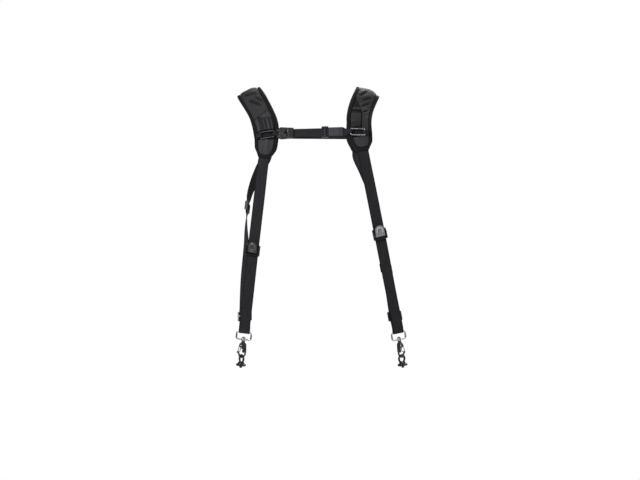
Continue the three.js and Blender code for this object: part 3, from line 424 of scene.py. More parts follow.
SPACER_MESH = finish(
    "spacer_mesh",
    (0.004, 0.004, 0.005),
    (0.02, 0.02, 0.022),
    lambda tree: mixed(tree, spacer_cells(tree), mottle(tree, in_place(tree), 0.02), 0.3),
    spacer_cells,
    0.0006,
    (0.75, 0.95),
    Specular_IOR_Level=0.12,
    Sheen_Weight=0.05,
)
FOAM_ROWS = 130
FOAM_RING = 48
# The foam stops short of the binding, of the layers above it and of the pad's underside.
EDGE_SHY = 0.0004
FOAM_SHY = 0.0012
FOOT_SHY = 0.0006
END_DRAW = 0.003
SWELL = 0.0013
SWELL_FADE = 0.008
SWELL_PRESSURE = 4.0
SWELL_FRAMES = 20
VOXEL = 0.0028


def foam_form(pad):
    """Rings along the pad: each ring's half width and height are an ellipse of the sixth power between
    the underside and the crowned top, and the first and last 3 mm draw in to a line."""
    s = np.linspace(0, pad["length"], FOAM_ROWS)[:, None]
    turn = np.linspace(0, 2 * math.pi, FOAM_RING, endpoint=False)[None]
    t = (pad_half(pad, s) - EDGE_SHY) * np.cos(turn)
    side = np.sqrt(1 - np.abs(np.cos(turn)) ** 6)
    end = np.sqrt(1 - (1 - np.clip(np.minimum(s, pad["length"] - s) / END_DRAW, 0, 1)) ** 2)
    top, middle = crown(pad, s, t) - FOAM_SHY, PAD_EDGE / 2
    limit = np.where(np.sin(turn) >= 0, top, FOOT_SHY)
    return on_pad(pad, s, t, middle + (limit - middle) * side * end)


def along_pad(pad, points):
    """Each point's length along a pad, its place across and the way out there, from the nearest station."""
    every = slice(None, None, 4)
    away = points[:, None] - pad["at"][every][None]
    near = np.argmin(np.sum(away**2, axis=2), axis=1)
    offset = points - pad["at"][every][near]
    across = np.sum(offset * pad["across"][every][near], axis=1)
    return pad["s"][every][near], across, pad["out"][every][near]


def swollen(obj, pad):
    """Cloth under pressure, held at its bound edges; a point may move at most the swell's cap, and less
    towards the binding."""
    before = points_of(obj)
    s, t, out = along_pad(pad, before)
    room = np.minimum(pad_half(pad, s) - LIP - np.abs(t), np.minimum(s, pad["length"] - s) - LIP)
    free = np.clip(room / SWELL_FADE, 0, 1)
    held = obj.vertex_groups.new(name="bound")
    for index in np.flatnonzero(room < 0.001):
        held.add([int(index)], 1.0, "REPLACE")
    cloth = obj.modifiers.new("swell", "CLOTH")
    cloth.settings.vertex_group_mass = "bound"
    cloth.settings.use_pressure = True
    cloth.settings.uniform_pressure_force = SWELL_PRESSURE
    cloth.settings.effector_weights.gravity = 0.0
    cloth.collision_settings.use_collision = False
    cloth.point_cache.frame_start, cloth.point_cache.frame_end = 1, SWELL_FRAMES
    for frame_number in range(1, SWELL_FRAMES + 1):
        bpy.context.scene.frame_set(frame_number)
    seen = obj.evaluated_get(bpy.context.evaluated_depsgraph_get())
    after = np.zeros(len(before) * 3, np.float32)
    seen.data.vertices.foreach_get("co", after)
    rise = np.sum((after.reshape(-1, 3) - before) * out, axis=1)
    obj.modifiers.remove(cloth)
    bpy.context.scene.frame_set(1)
    moved = before + out * (np.clip(rise, -SWELL, SWELL) * free)[:, None]
    obj.data.vertices.foreach_set("co", moved.astype(np.float32).ravel())
    obj.data.update()


def remeshed(obj):
    """An even net of small quads over the foam, for the cloth to bend on."""
    shell = obj.modifiers.new("even", "REMESH")
    shell.mode = "VOXEL"
    shell.voxel_size = VOXEL
    shell.use_smooth_shade = True
    seen = obj.evaluated_get(bpy.context.evaluated_depsgraph_get())
    mesh = bpy.data.meshes.new_from_object(seen)
    obj.modifiers.remove(shell)
    obj.data = mesh


for side, pad in PADS.items():
    faces = grid_faces(FOAM_ROWS, FOAM_RING, closed_columns=True)
    foam = facing_out(new_mesh(f"foam_{side}", foam_form(pad).reshape(-1, 3), faces))
    remeshed(foam)
    swollen(foam, pad)
    rounder = foam.modifiers.new("smooth", "SUBSURF")
    rounder.levels = rounder.render_levels = 1
    dress(foam, SPACER_MESH, "panel", "root", f"shoulder_pad_{side}")

# Binding: a grosgrain tape folded over each pad's edge and sewn through with one row of thread. The tape
# puckers slightly between the stitches.
BINDING_GAP = 0.0003
BINDING_THICK = 0.001
PUCKER = 0.00018
STITCH_PITCH = 0.0032
STITCH_LONG = 0.0021
THREAD_RADIUS = 0.00033
# How far behind each stitch the line is looked at for the stitch's direction.
LOOK_BACK = 0.0002
EDGE_STEP = 0.0011
CORNER = 0.004


def edge_loop(pad):
    """Round the pad's outline: places along it, shares across it, and the length round it. The two long
    sides run at the full half width, the ends run across, and the corners between them are arcs."""
    length, end = pad["length"], pad_half(pad, 0.0)
    turn = np.linspace(0, math.pi / 2, 7)[1:-1]
    side_s = np.linspace(CORNER, length - CORNER, int(length / EDGE_STEP))
    across = np.linspace(1 - CORNER / end, CORNER / end - 1, 14)
    bend_s, bend_q = CORNER * (1 - np.cos(turn)), 1 - CORNER / end * (1 - np.sin(turn))
    out_s = [side_s, length - bend_s[::-1], across * 0 + length, length - bend_s]
    out_q = [side_s * 0 + 1, bend_q[::-1], across, -bend_q]
    s = np.concatenate(out_s + [side_s[::-1], bend_s[::-1], across * 0, bend_s])
    q = np.concatenate(out_q + [side_s * 0 - 1, -bend_q[::-1], -across, bend_q])
    rough = on_pad(pad, s, q * pad_half(pad, s), s * 0)
    return s, q, lengths_along(rough)


def inset(pad, s, q, deep):
    """The outline's points drawn in by a depth: places along shrink towards the middle, and places across
    keep their share of the half width less the depth."""
    length = pad["length"]
    inner = deep + s * (length - 2 * deep) / length
    return inner, q * (pad_half(pad, np.clip(inner, 0, length)) - deep)


# The tape's section as depth inwards and height, in millimetres, from the upper lip round to the lower.
TAPE_OUTER = [(6, 6.1), (5.6, 6.3), (1.5, 6.3), (0, 5.9), (-0.9, 5.2), (-1.3, 4), (-1.3, 1), (-0.9, -0.2),
              (0, -0.9), (1.5, -1.3), (5.6, -1.3), (6, -1.1)]
TAPE_INNER = [(6, -0.4), (1.2, -0.3), (0, 0.1), (-0.3, 1), (-0.3, 4), (0, 4.9), (1.2, 5.3), (6, 5.4)]
# Its seam: how far in from the edge, and the tape's height there on the outer and the inner face.
SEAM_DEEP = 0.0045
SEAM_HEIGHTS = {"outer": 0.0063, "inner": -0.0013}


def grosgrain(tree):
    """Fine ribs across the tape, a little uneven."""
    return mixed(tree, waves(tree, own_map(tree), 0.0011, "X"), mottle(tree, own_map(tree), 0.004), 0.25)


BINDING_TAPE = finish(
    "binding_tape", (0.0015, 0.0015, 0.002), (0.008, 0.008, 0.009), grosgrain, grosgrain, 0.00025, (0.7, 0.9),
    Specular_IOR_Level=0.14, Sheen_Weight=0.05,
)
THREAD = finish(
    "thread",
    (0.008, 0.008, 0.01),
    (0.03, 0.03, 0.034),
    lambda tree: mottle(tree, in_place(tree), 0.003),
    lambda tree: waves(tree, in_place(tree), 0.0004, "Z"),
    0.0001,
    (0.5, 0.7),
    Specular_IOR_Level=0.3,
)


def stitches(name, line, places, out_at):
    """Threads along a line of points, one each pitch. Each is a capsule of five rings: the radius follows a
    half circle along it and the middle bows outwards by the radius. The line's points have places, and
    out_at gives the way out at such places."""
    reach = lengths_along(line)
    marks = np.arange(STITCH_PITCH / 2, reach[-1], STITCH_PITCH)
    at, behind = looked_up(marks, reach, line), looked_up(marks - LOOK_BACK, reach, line)
    along, out = unit(at - behind), out_at(np.interp(marks, reach, places))
    side = unit(np.cross(along, out))
    run = np.linspace(-1, 1, 5)[None, :, None, None]
    turn = np.linspace(0, 2 * math.pi, 6, endpoint=False)[None, None, :, None]
    swell = THREAD_RADIUS * np.sqrt(1 - run**2)
    a, o, w = (v[:, None, None] for v in (along, out, side))
    points = (
        at[:, None, None]
        + a * run * STITCH_LONG / 2
        + o * (THREAD_RADIUS * (1 - run**2) + swell * np.cos(turn))
        + w * swell * np.sin(turn)
    )
    one = grid_faces(5, 6, closed_columns=True)
    faces = (one[None] + 30 * np.arange(len(at))[:, None, None]).reshape(-1, 4)
    made = facing_out(new_mesh(name, points.reshape(-1, 3), faces))
    return dress(made, THREAD, "binding")


for side, pad in PADS.items():
    s, q, run = edge_loop(pad)
    profile = np.array(TAPE_OUTER + TAPE_INNER) / 1000
    deep, height = profile[:, 0][None], profile[:, 1][None]
    flap = np.clip(deep / LIP, 0, 1) * np.sin(2 * math.pi * run[:, None] / STITCH_PITCH / 2)
    places, across = inset(pad, s[:, None], q[:, None], deep)
    points = on_pad(pad, places, across, height + PUCKER * flap)
    tape = new_mesh(f"binding_{side}", points.reshape(-1, 3), grid_faces(len(s), len(profile), True, True))
    with_map(tape, run[:, None] + 0 * places, lengths_along(profile) + 0 * places)
    dress(facing_out(tape), BINDING_TAPE, "binding", "root", f"pad_binding_{side}")
    line_s, line_t = inset(pad, s, q, SEAM_DEEP)
    for face, height in SEAM_HEIGHTS.items():
        way = 1 if face == "outer" else -1
        line = on_pad(pad, line_s, line_t, height)
        name = f"binding_thread_{face}_{side}"
        stitches(name, line, line_s, lambda at_s: way * looked_up(at_s, pad["s"], pad["out"]))

# Nylon layers sewn to the pads' fronts and over the shoulders: on the right a creased upper panel ends in a
# slanted seam above a gusset and four padded ribs; on the left it narrows into a strip beside a small ribbed
# patch. A plain panel covers each pad's lower end.
LAYER_LIFT = 0.0003
LAYER_THICK = 0.0016
ROLL = 0.0018


def nylon_weave(tree):
    """Fine threads both ways."""
    across, along = (waves(tree, own_map(tree), 0.0009, way) for way in "XY")
    return mixed(tree, across, along, 0.5)


# The tone attribute brings each layer's painted shade in its creases, folds and grooves.
NYLON = finish(
    "nylon_cloth",
    (0.0015, 0.0015, 0.002),
    (0.034, 0.0345, 0.0375),
    lambda tree: mixed(tree, tone_of(tree), mottle(tree, own_map(tree), 0.006, 5.0), 0.22),
    nylon_weave,
    0.00012,
    (0.68, 0.55),
    Specular_IOR_Level=0.2,
    Sheen_Weight=0.08,
)


def segment_fold(s, t, row):
    """A crease from one place to another: a bell-shaped furrow of the given depth and width with raised
    shoulders, fading at both ends."""
    s0, t0, s1, t1, depth, width = (value / 1000 for value in row)
    reach = np.hypot(s1 - s0, t1 - t0)
    along = ((s - s0) * (s1 - s0) + (t - t0) * (t1 - t0)) / reach**2
    away = ((t - t0) * (s1 - s0) - (s - s0) * (t1 - t0)) / reach
    end = np.clip(np.minimum(along + 0.12, 1.12 - along) / 0.3, 0, 1)
    bell = np.exp(-((away / width) ** 2))
    shoulders = np.exp(-((np.abs(away) / width - 1.9) ** 2))
    return depth * end * (0.6 * shoulders - bell), end * bell


def layer(name, outline, relief, tone, rows, columns, *nodes, plies=1):
    """A sewn layer on the pad that its name ends with: a grid between two limits across, each a function of
    the place along, over the pad's crown. Its top rises from the rim as a quarter circle, and meets its
    underside there. The plies are not used."""
    side = name.rsplit("_", 1)[1]
    pad = PADS[side]
    share = np.linspace(-1, 1, columns)[None]
    s, low, high = outline(rows, share)
    t = (low + high) / 2 + (high - low) / 2 * share
    near = np.minimum(np.minimum(t - low, high - t), np.minimum(s - s[:1], s[-1:] - s))
    roll = np.sqrt(1 - (1 - np.clip(near / ROLL, 0, 1)) ** 2)
    base = crown(pad, s, t) + LAYER_LIFT
    top = base + roll * (LAYER_THICK + relief(s, t))
    points = np.concatenate([on_pad(pad, s, t, top), on_pad(pad, s, t, base)[:, ::-1]], axis=1)
    made = new_mesh(name, points.reshape(-1, 3), grid_faces(len(s), 2 * columns, closed_columns=True))
    with_map(made, np.concatenate([t, t[:, ::-1]], axis=1), np.concatenate([s, s[:, ::-1]], axis=1))
    value = np.clip(tone(s, t), 0, 1) * np.ones_like(s)
    with_tone(made, np.concatenate([value, value[:, ::-1]], axis=1))
    facing_out(made)
    dress(made, NYLON, "panel", "root", *nodes)


def folds(s, t, table):
    """The summed height of all creases, and how deep in a furrow each place lies."""
    height, dark = 0.0, 0.0
    for row in table:
        rise, furrow = segment_fold(s, t, row)
        height, dark = height + rise, np.maximum(dark, furrow)
    return height, dark


def smooth(edge0, edge1, x):
    """0 before the first edge, 1 after the second, and a smooth cubic between them."""
    share = np.clip((x - edge0) / (edge1 - edge0), 0, 1)
    return share * share * (3 - 2 * share)


def flat_limit(pad, s, share):
    """A share of the half width that is left inside the binding's lip."""
    return share * (pad_half(pad, s) - LIP)


# Where the upper panels end behind, as a share of the pad, and the shares of its clear width that they fill.
REAR_END = 0.64
NEAR_EDGE = 0.97
PATCH_EDGE = 0.93
# Creases: start along, start across, end along, end across, depth and width, in millimetres.
CREASES = {
    "right": [
        (158, -10, 126, 9, 2.1, 3.0),
        (154, 8, 135, 16, 1.6, 2.5),
        (176, -12, 164, 12, 1.6, 3.2),
        (202, 14, 190, -12, 1.0, 4.5),
    ],
    "left": [
        (129, 4, 148, -12, 2.1, 2.8),
        (106, 1, 131, -14, 2.2, 2.6),
        (91, -6, 105, -16, 1.8, 2.3),
        (140, 13, 158, 2, 1.4, 3.2),
        (186, -12, 176, 13, 1.0, 4.5),
    ],
}
# The right pad's slanted seam: its place along at the middle, and how much further along its neck end lies.
SEAM_PLACE = 0.1015
SEAM_SLANT = 0.0032
SEAM_GAP = 0.0012
GUSSET_FOOT = 0.0885
GUSSET_BEND = 0.001
GUSSET_SLOPES = (-0.25, -1.1)
GUSSET_RISE = 0.0016
PLEAT_PITCH = 0.0085
RIB_FOOT = 0.0605
RIB_RISE = 0.0013
# Bands across the right pad's ribs: place and half width in millimetres.
RIBS = [(-16, 4.6), (-0.8, 1.5), (8, 2.6), (15.6, 1.8)]


def between(start, stop, rows):
    """Even places along from a start to a stop, either of which may change across."""
    return start + (stop - start) * np.linspace(0, 1, rows)[:, None]


def right_upper(rows, share):
    """From the slanted seam over the crest to the rear end, as wide as the lips leave."""
    pad = PADS["right"]
    s = between(SEAM_PLACE + SEAM_SLANT * share, pad["length"] * REAR_END, rows)
    return s, -flat_limit(pad, s, NEAR_EDGE), flat_limit(pad, s, NEAR_EDGE)


def right_front(rows, share):
    """From the ribs' foot up to a gap below the slanted seam."""
    pad = PADS["right"]
    s = between(RIB_FOOT, SEAM_PLACE - SEAM_GAP + SEAM_SLANT * share, rows)
    return s, -flat_limit(pad, s, NEAR_EDGE), flat_limit(pad, s, 0.95)


def past_gusset(s, t):
    """How far along past the gusset's lower edge a place lies. The edge is two straight lines that meet
    near the middle: almost level on the neck side, steep on the other."""
    off = t - GUSSET_BEND
    return s - GUSSET_FOOT - np.where(off > 0, *GUSSET_SLOPES) * off


def ribbed(t, outside, inside):
    """1 on the bands of the table and 0 between, over an edge that reaches outside and inside each band."""
    bands = [(np.abs(t - at / 1000), half / 1000) for at, half in RIBS]
    return sum(smooth(half + outside, half - inside, away) for away, half in bands)


def pleats(t):
    """Even folds across, a sine from 0 to 1."""
    return 0.5 + 0.5 * np.sin(2 * math.pi * (t + 0.004) / PLEAT_PITCH)


def right_front_relief(s, t):
    """The pleated gusset stands up above its edge, and the ribs stand up below it."""
    past = past_gusset(s, t)
    gusset = smooth(-0.0015, 0.0015, past) * smooth(-0.011, -0.007, t) * (0.6 + 0.4 * pleats(t))
    ribs = ribbed(t, 0.0008, 0.0008) * smooth(0.0015, -0.001, past)
    return GUSSET_RISE * gusset + RIB_RISE * ribs * smooth(RIB_FOOT, RIB_FOOT + 0.004, s)


def right_front_painted_shade(s, t):
    """Painted shade and highlight: light on the pleats and the ribs, whose cloth is also lighter, and dark
    between them and along the gusset's edge.
    """
    past = past_gusset(s, t)
    inside = smooth(-0.0005, 0.002, past) * smooth(-0.011, -0.007, t)
    # Painted shade along the gusset's edge, and painted shade and highlight across the pleats and ribs.
    dark = np.exp(-((past / 0.0017) ** 2)) * smooth(-0.011, -0.008, t)
    light = np.where(inside > 0.3, 0.55 + 0.3 * pleats(t), 0.12 + 0.62 * ribbed(t, 0.0005, 0.0012))
    return light * (1 - 0.85 * dark)


# The plain lower panels: foot and top along each pad, how far the foot dips, and the share they fill across.
LOWER_SPAN = {"right": (0.0075, 0.0395), "left": (0.0085, 0.0295)}
LOWER_DIP = 0.0016
LOWER_EDGE = 0.96
# The left pad's strip, and where along and how fast it widens into the upper panel.
STRIP_FOOT = 0.0305
STRIP_EDGE = -0.0048
WIDEN_FROM = 0.09
WIDENING = 0.0195 / 0.036
# The ribbed patch beside it, and the folded bar above the patch: place, length and inner edge.
PATCH_FOOT, PATCH_LONG, PATCH_INNER = 0.0515, 0.0325, -0.0022
PATCH_RIB, PATCH_RIBS_END = 0.0023, 0.063
BAR_FOOT, BAR_LONG, BAR_INNER = 0.0925, 0.0062, 0.0005
BAR_SLANT = 0.16


def plain_lower(side):
    """From a foot that dips as a parabola across up to a level top."""

    def outline(rows, share):
        pad, (foot, top) = PADS[side], LOWER_SPAN[side]
        s = between(foot - LOWER_DIP * (1 - share**2), top, rows)
        return s, -flat_limit(pad, s, LOWER_EDGE), flat_limit(pad, s, LOWER_EDGE)

    return outline


def left_outer(rows, share):
    """The gathered upper panel and the strip it narrows into, one piece of cloth: its neck side runs
    straight up the strip and then widens evenly to the lip."""
    pad = PADS["left"]
    s = between(STRIP_FOOT, pad["length"] * REAR_END, rows) + 0 * share
    high = STRIP_EDGE + WIDENING * np.maximum(s - WIDEN_FROM, 0)
    return s, -flat_limit(pad, s, NEAR_EDGE), np.minimum(high, flat_limit(pad, s, NEAR_EDGE))


def left_patch(rows, share):
    """A rectangle from the patch's inner edge to near the lip."""
    s = between(PATCH_FOOT, PATCH_FOOT + PATCH_LONG, rows) + 0 * share
    return s, PATCH_INNER + 0 * s, flat_limit(PADS["left"], s, PATCH_EDGE)


def patch_ribs(s):
    """Squared sines along the patch, one each rib."""
    return np.sin(math.pi * (s - PATCH_FOOT) / PATCH_RIB) ** 2


def left_bar(rows, share):
    """A narrow bar that slants down towards the neck."""
    s = between(BAR_FOOT, BAR_FOOT + BAR_LONG, rows) + BAR_SLANT * (0.01 - share * 0.011)
    return s, BAR_INNER + 0 * s, flat_limit(PADS["left"], s, PATCH_EDGE)


def creased(side):
    """The side's creases over a soft wave, no deeper than the layer is thick."""

    def relief(s, t):
        soft = 0.0005 * np.sin(s / 0.011 + 90 * t) * smooth(0.09, 0.12, s)
        return np.maximum(folds(s, t, CREASES[side])[0] + soft, 0.0003 - LAYER_THICK)

    return relief


def crease_painted_shade(side, base):
    """Painted shade: dark in the furrows, and a little darker over the crest."""

    def tone(s, t):
        return base - 0.62 * folds(s, t, CREASES[side])[1] - 0.12 * smooth(0.15, 0.2, s)

    return tone


crease_shade_right, crease_shade_left = crease_painted_shade("right", 0.55), crease_painted_shade("left", 0.58)
layer("upper_cloth_right", right_upper, creased("right"), crease_shade_right, 170, 41, "upper_panel_right")
layer("ribbed_cloth_right", right_front, right_front_relief, right_front_painted_shade, 60, 81, "front_panel_right")
# The right lower panel's tone carries soft bands across as painted shade.
layer(
    "lower_cloth_right",
    plain_lower("right"),
    lambda s, t: 0.0004 * np.sin(t / 0.0022),
    lambda s, t: 0.62 + 0.1 * np.sin(t / 0.0026 + 0.5),
    44,
    61,
    "lower_panel_right",
)
layer("upper_cloth_left", left_outer, creased("left"), crease_shade_left, 210, 41, "upper_panel_left")
# The ribbed patch's tone is painted shade, dark in the grooves between its ribs.
layer(
    "ribbed_patch_left",
    left_patch,
    lambda s, t: np.where(s < PATCH_RIBS_END, 0.0009 * patch_ribs(s), 0.0005),
    lambda s, t: np.where(s < PATCH_RIBS_END, 0.05 + 0.5 * patch_ribs(s), 0.5),
    70,
    31,
    "front_panel_left",
)
layer("patch_bar_left", left_bar, lambda s, t: 0.0007 + 0 * s, lambda s, t: 0.55 + 0 * s, 12, 25, plies=1.7)
layer(
    "lower_cloth_left",
    plain_lower("left"),
    lambda s, t: 0 * s,
    lambda s, t: 0.66 - 0.1 * (t / 0.02) ** 2,
    30,
    41,
    "lower_panel_left",
)


# Rows of thread on the nylon: place along and across at the row's middle, and from there to its end.
THREAD_ROWS = {
    "seam_thread_right": (SEAM_PLACE + 0.0035, 0, SEAM_SLANT, 0.0195),
    "lower_thread_right": (0.0368, 0, 0, 0.0165),
    "lower_thread_left": (0.0268, 0, 0, 0.0155),
    "strip_thread_left": (0.06, -0.0073, 0.027, 0),
}
for name, (middle_s, middle_t, gain_s, gain_t) in THREAD_ROWS.items():
    pad, row = PADS[name.rsplit("_", 1)[1]], np.linspace(-1, 1, 30)
    s, t = middle_s + gain_s * row, middle_t + gain_t * row
    line = on_pad(pad, s, t, crown(pad, s, t) + LAYER_LIFT + LAYER_THICK)
    stitches(name, line, s, lambda at_s: looked_up(at_s, pad["s"], pad["out"]))

# Webbing loops: 25 mm nylon webbing from each pad's front end down over the chest, round the eye's top bar
# and back up through the lower slider, where it meets the length that runs round the waist to the pad's rear
# end. It is woven in one pass, with a bead along each edge.
STRAP_THICK = 0.002
WEBBING_STEP = 0.0035
REJOIN = 0.012
TAPE_SPACE = 2 * BINDING_GAP + BINDING_THICK
EYE_ACROSS = {"right": 0.144, "left": 0.202}
EYE_DROP = 0.533
EYE_REACH = 0.068
EYE_TURN = {"right": 6, "left": 20}
EYE_LEAN = {"right": 6, "left": 8}
EYE_WIRE = 0.003
FRONT_BULGE = 0.019
BACK_BULGE = 0.016
FLANK_BULGE = {"right": 0.028, "left": 0.011}
PLUMB_RUN = 0.009
CAM_DROP = {"right": 0.344, "left": 0.308}
SLIDER_DROP = 0.499
ADJUSTER_DROP = {"right": 0.262, "left": 0.397}
PLY_OFFSET = EYE_WIRE / 2 + BINDING_GAP + STRAP_THICK / 2
# Columns: share of the way, shares of the back and the flank bulge, the turn round the waist in degrees.
REAR_ROWS = np.array(
    [
        (0.1, -0.3, 0.15, 14),
        (0.27, -0.15, 0.45, 35),
        (0.46, 0.45, 0.72, 61),
        (0.6, 0.8, 1, 82),
        (0.757, 1, 1, 115),
        (0.89, 0.8, 0.45, 150),
    ]
)
# Share of the way, and share of the front bulge.
FRONT_ROWS = np.array([(0.22, 0.68), (0.5, 1), (0.78, 0.6)])
# How the width is turned where a webbing leaves the pad's front end and meets its rear end, in degrees.
PAD_TURNS = (12, 168)


def level_direction(angle):
    """A level direction that many degrees from +X towards +Y."""
    return np.array([math.cos(math.radians(angle)), math.sin(math.radians(angle)), 0.0])


def squared(x, z):
    """The part of x that is square to z, as a direction."""
    z = unit(np.asarray(z, float))
    return unit(x - z * np.dot(x, z))


def frame_at(at, x, z):
    """A place with three square directions: x as given, y square to it and z, z squared to both."""
    x = unit(np.asarray(x, float))
    y = unit(np.cross(np.asarray(z, float), x))
    return {"at": np.asarray(at, float), "x": x, "y": y, "z": np.cross(x, y)}


def out_of(group, points):
    """Points given in a group's own directions, in metres, put where the group is."""
    points = np.asarray(points, float)
    return group["at"] + points @ np.stack([group["x"], group["y"], group["z"]])


def eye_frame(side):
    """The middle of an eye's top bar: x along the bar, z up the eye, which leans in its own plane."""
    sign, lean = SIDES[side], math.radians(EYE_LEAN[side])
    at = (-sign * EYE_ACROSS[side], -EYE_REACH, -EYE_DROP)
    up = (sign * math.sin(lean), 0, math.cos(lean))
    return frame_at(at, squared(level_direction(-sign * EYE_TURN[side]), up), up)


def webbing_route(points, turns, sign):
    """Places, width directions and faces along a smooth line through points; the width turns with it."""
    at = curve_through(points)
    turn = np.radians(curve_through(np.array(turns, float)[:, None], 0.5)[:, 0])
    along = unit(np.gradient(at, axis=0))
    across = np.stack([sign * np.cos(turn), -np.sin(turn), 0 * turn], axis=1)
    across = unit(across - along * np.sum(across * along, axis=1, keepdims=True))
    face = np.cross(along, across)
    return {"at": at, "along": along, "across": across, "face": face, "s": lengths_along(at)}


def at_height(way, height):
    """The length along a way at which it passes that height."""
    rising = way["at"][-1, 2] > way["at"][0, 2]
    order = slice(None) if rising else slice(None, None, -1)
    return np.interp(height, way["at"][order, 2], way["s"][order])


def on_way(way, s):
    """Places and directions of a way at the lengths s."""
    return {key: looked_up(s, way["s"], way[key]) for key in ("at", "along", "across", "face")}


def run_of(way, start, stop, fittings):
    """Stations between two lengths. Within each fitting's half height the webbing runs straight, and it
    rejoins its curve smoothly beyond."""
    s = np.linspace(start, stop, max(int(abs(stop - start) / WEBBING_STEP), 2))
    rows = on_way(way, s)
    for middle, half in fittings:
        held = on_way(way, np.array([middle]))
        share = smooth(half + REJOIN, half, np.abs(s - middle))[:, None]
        straight = {**held, "at": held["at"] + held["along"] * (s - middle)[:, None]}
        rows = {key: rows[key] + (straight[key] - rows[key]) * share for key in rows}
    return rows


ROUTES = {}
for side, pad in PADS.items():
    sign, eye, turn = SIDES[side], eye_frame(side), EYE_TURN[side]
    mid = PAD_EDGE / 2
    top = on_pad(pad, np.array([-TAPE_SPACE, -TAPE_SPACE - PLUMB_RUN]), 0.0, mid)
    foot = out_of(eye, [(0, -PLY_OFFSET, PLUMB_RUN), (0, -PLY_OFFSET, 0)])
    rows = top[0] + (foot[1] - top[0]) * FRONT_ROWS[:, :1] - [0, FRONT_BULGE, 0] * FRONT_ROWS[:, 1:]
    front = webbing_route([*top, *rows, *foot], [PAD_TURNS[0]] * 4 + [turn] * 3, sign)
    start = out_of(eye, [(0, PLY_OFFSET, 0), (0, PLY_OFFSET, PLUMB_RUN)])
    end = on_pad(pad, pad["length"] + TAPE_SPACE + np.array([PLUMB_RUN, 0]), 0.0, mid)
    rows = start[0] + (end[1] - start[0]) * REAR_ROWS[:, :1]
    rows[:, 0] -= sign * REAR_ROWS[:, 2] * FLANK_BULGE[side]
    rows[:, 1] += REAR_ROWS[:, 1] * BACK_BULGE
    rear = webbing_route([*start, *rows, *end], [turn, turn, *REAR_ROWS[:, 3]] + [PAD_TURNS[1]] * 2, sign)
    ROUTES[side] = (front, rear)

# The webbing's section from its middle to its edge: shares of the half width and of the half thickness.
EDGE_SHARES = np.array([0, 0.3, 0.6, 0.82, 0.9, 0.95, 0.985, 1.0])
EDGE_HEIGHTS = np.array([0.85, 0.85, 0.85, 0.82, 0.95, 0.92, 0.6, 0.0])


def webbing_section(width, thick):
    """A closed outline across webbing: even in the middle, a bead near each edge, and a rounded edge."""
    x = np.concatenate([-EDGE_SHARES[:0:-1], EDGE_SHARES])
    h = np.concatenate([EDGE_HEIGHTS[:0:-1], EDGE_HEIGHTS]) * thick / 2
    return np.concatenate([x, x[-2:0:-1]]) * width / 2, np.concatenate([h, -h[-2:0:-1]])


def carried(name, at, across, face, x, h, closed=False):
    """A closed section carried along stations, as place + x * width direction + h * face direction. Open
    ends are drawn in to a flat middle line."""
    x, h = np.broadcast_arrays(x, h + np.zeros((len(at), 1)))
    if not closed:
        at, across, face, x, h = (np.concatenate([v[:1], v, v[-1:]]) for v in (at, across, face, x, h))
        h[[0, -1]] = 0
    points = at[:, None] + across[:, None] * x[..., None] + face[:, None] * h[..., None]
    made = new_mesh(name, points.reshape(-1, 3), grid_faces(len(at), x.shape[-1], closed, True))
    with_map(made, x, lengths_along(at)[:, None] + 0 * x)
    return facing_out(made)


def webbing_weave(tree):
    """Ribs of warp across the webbing and finer weft along it."""
    ribs, weft = waves(tree, own_map(tree), 0.0021, "X"), waves(tree, own_map(tree), 0.0012, "Y")
    return mixed(tree, ribs, weft, 0.45)


def webbing_shade(tree):
    """Lighter along the middle and dark along both rounded edges, a painted shade, with streaks that follow
    the warp.
    """
    parts = step(tree, "ShaderNodeSeparateXYZ", {"Vector": own_map(tree)})
    off = step(tree, "ShaderNodeMath", {0: parts.outputs["X"]}, operation="ABSOLUTE").outputs["Value"]
    from_edge = {"Value": off, "From Min": 0.0119, "From Max": 0.0101}
    middle = step(tree, "ShaderNodeMapRange", from_edge, interpolation_type="SMOOTHSTEP")
    long_way = {"Vector": own_map(tree), "Scale": (1.0, 0.12, 1.0)}
    stretched = step(tree, "ShaderNodeMapping", long_way).outputs["Vector"]
    streaks = mixed(tree, mottle(tree, stretched, 0.0035, 4.0), webbing_weave(tree), 0.35)
    return times(tree, middle.outputs["Result"], streaks)


WEBBING = finish(
    "webbing_weave",
    (0.001, 0.001, 0.0013),
    (0.021, 0.021, 0.027),
    webbing_shade,
    webbing_weave,
    0.0003,
    (0.8, 0.62),
    Specular_IOR_Level=0.16,
    Sheen_Weight=0.06,
)
SLIDER_HALF = 0.0115
CAM_HALF = 0.0125
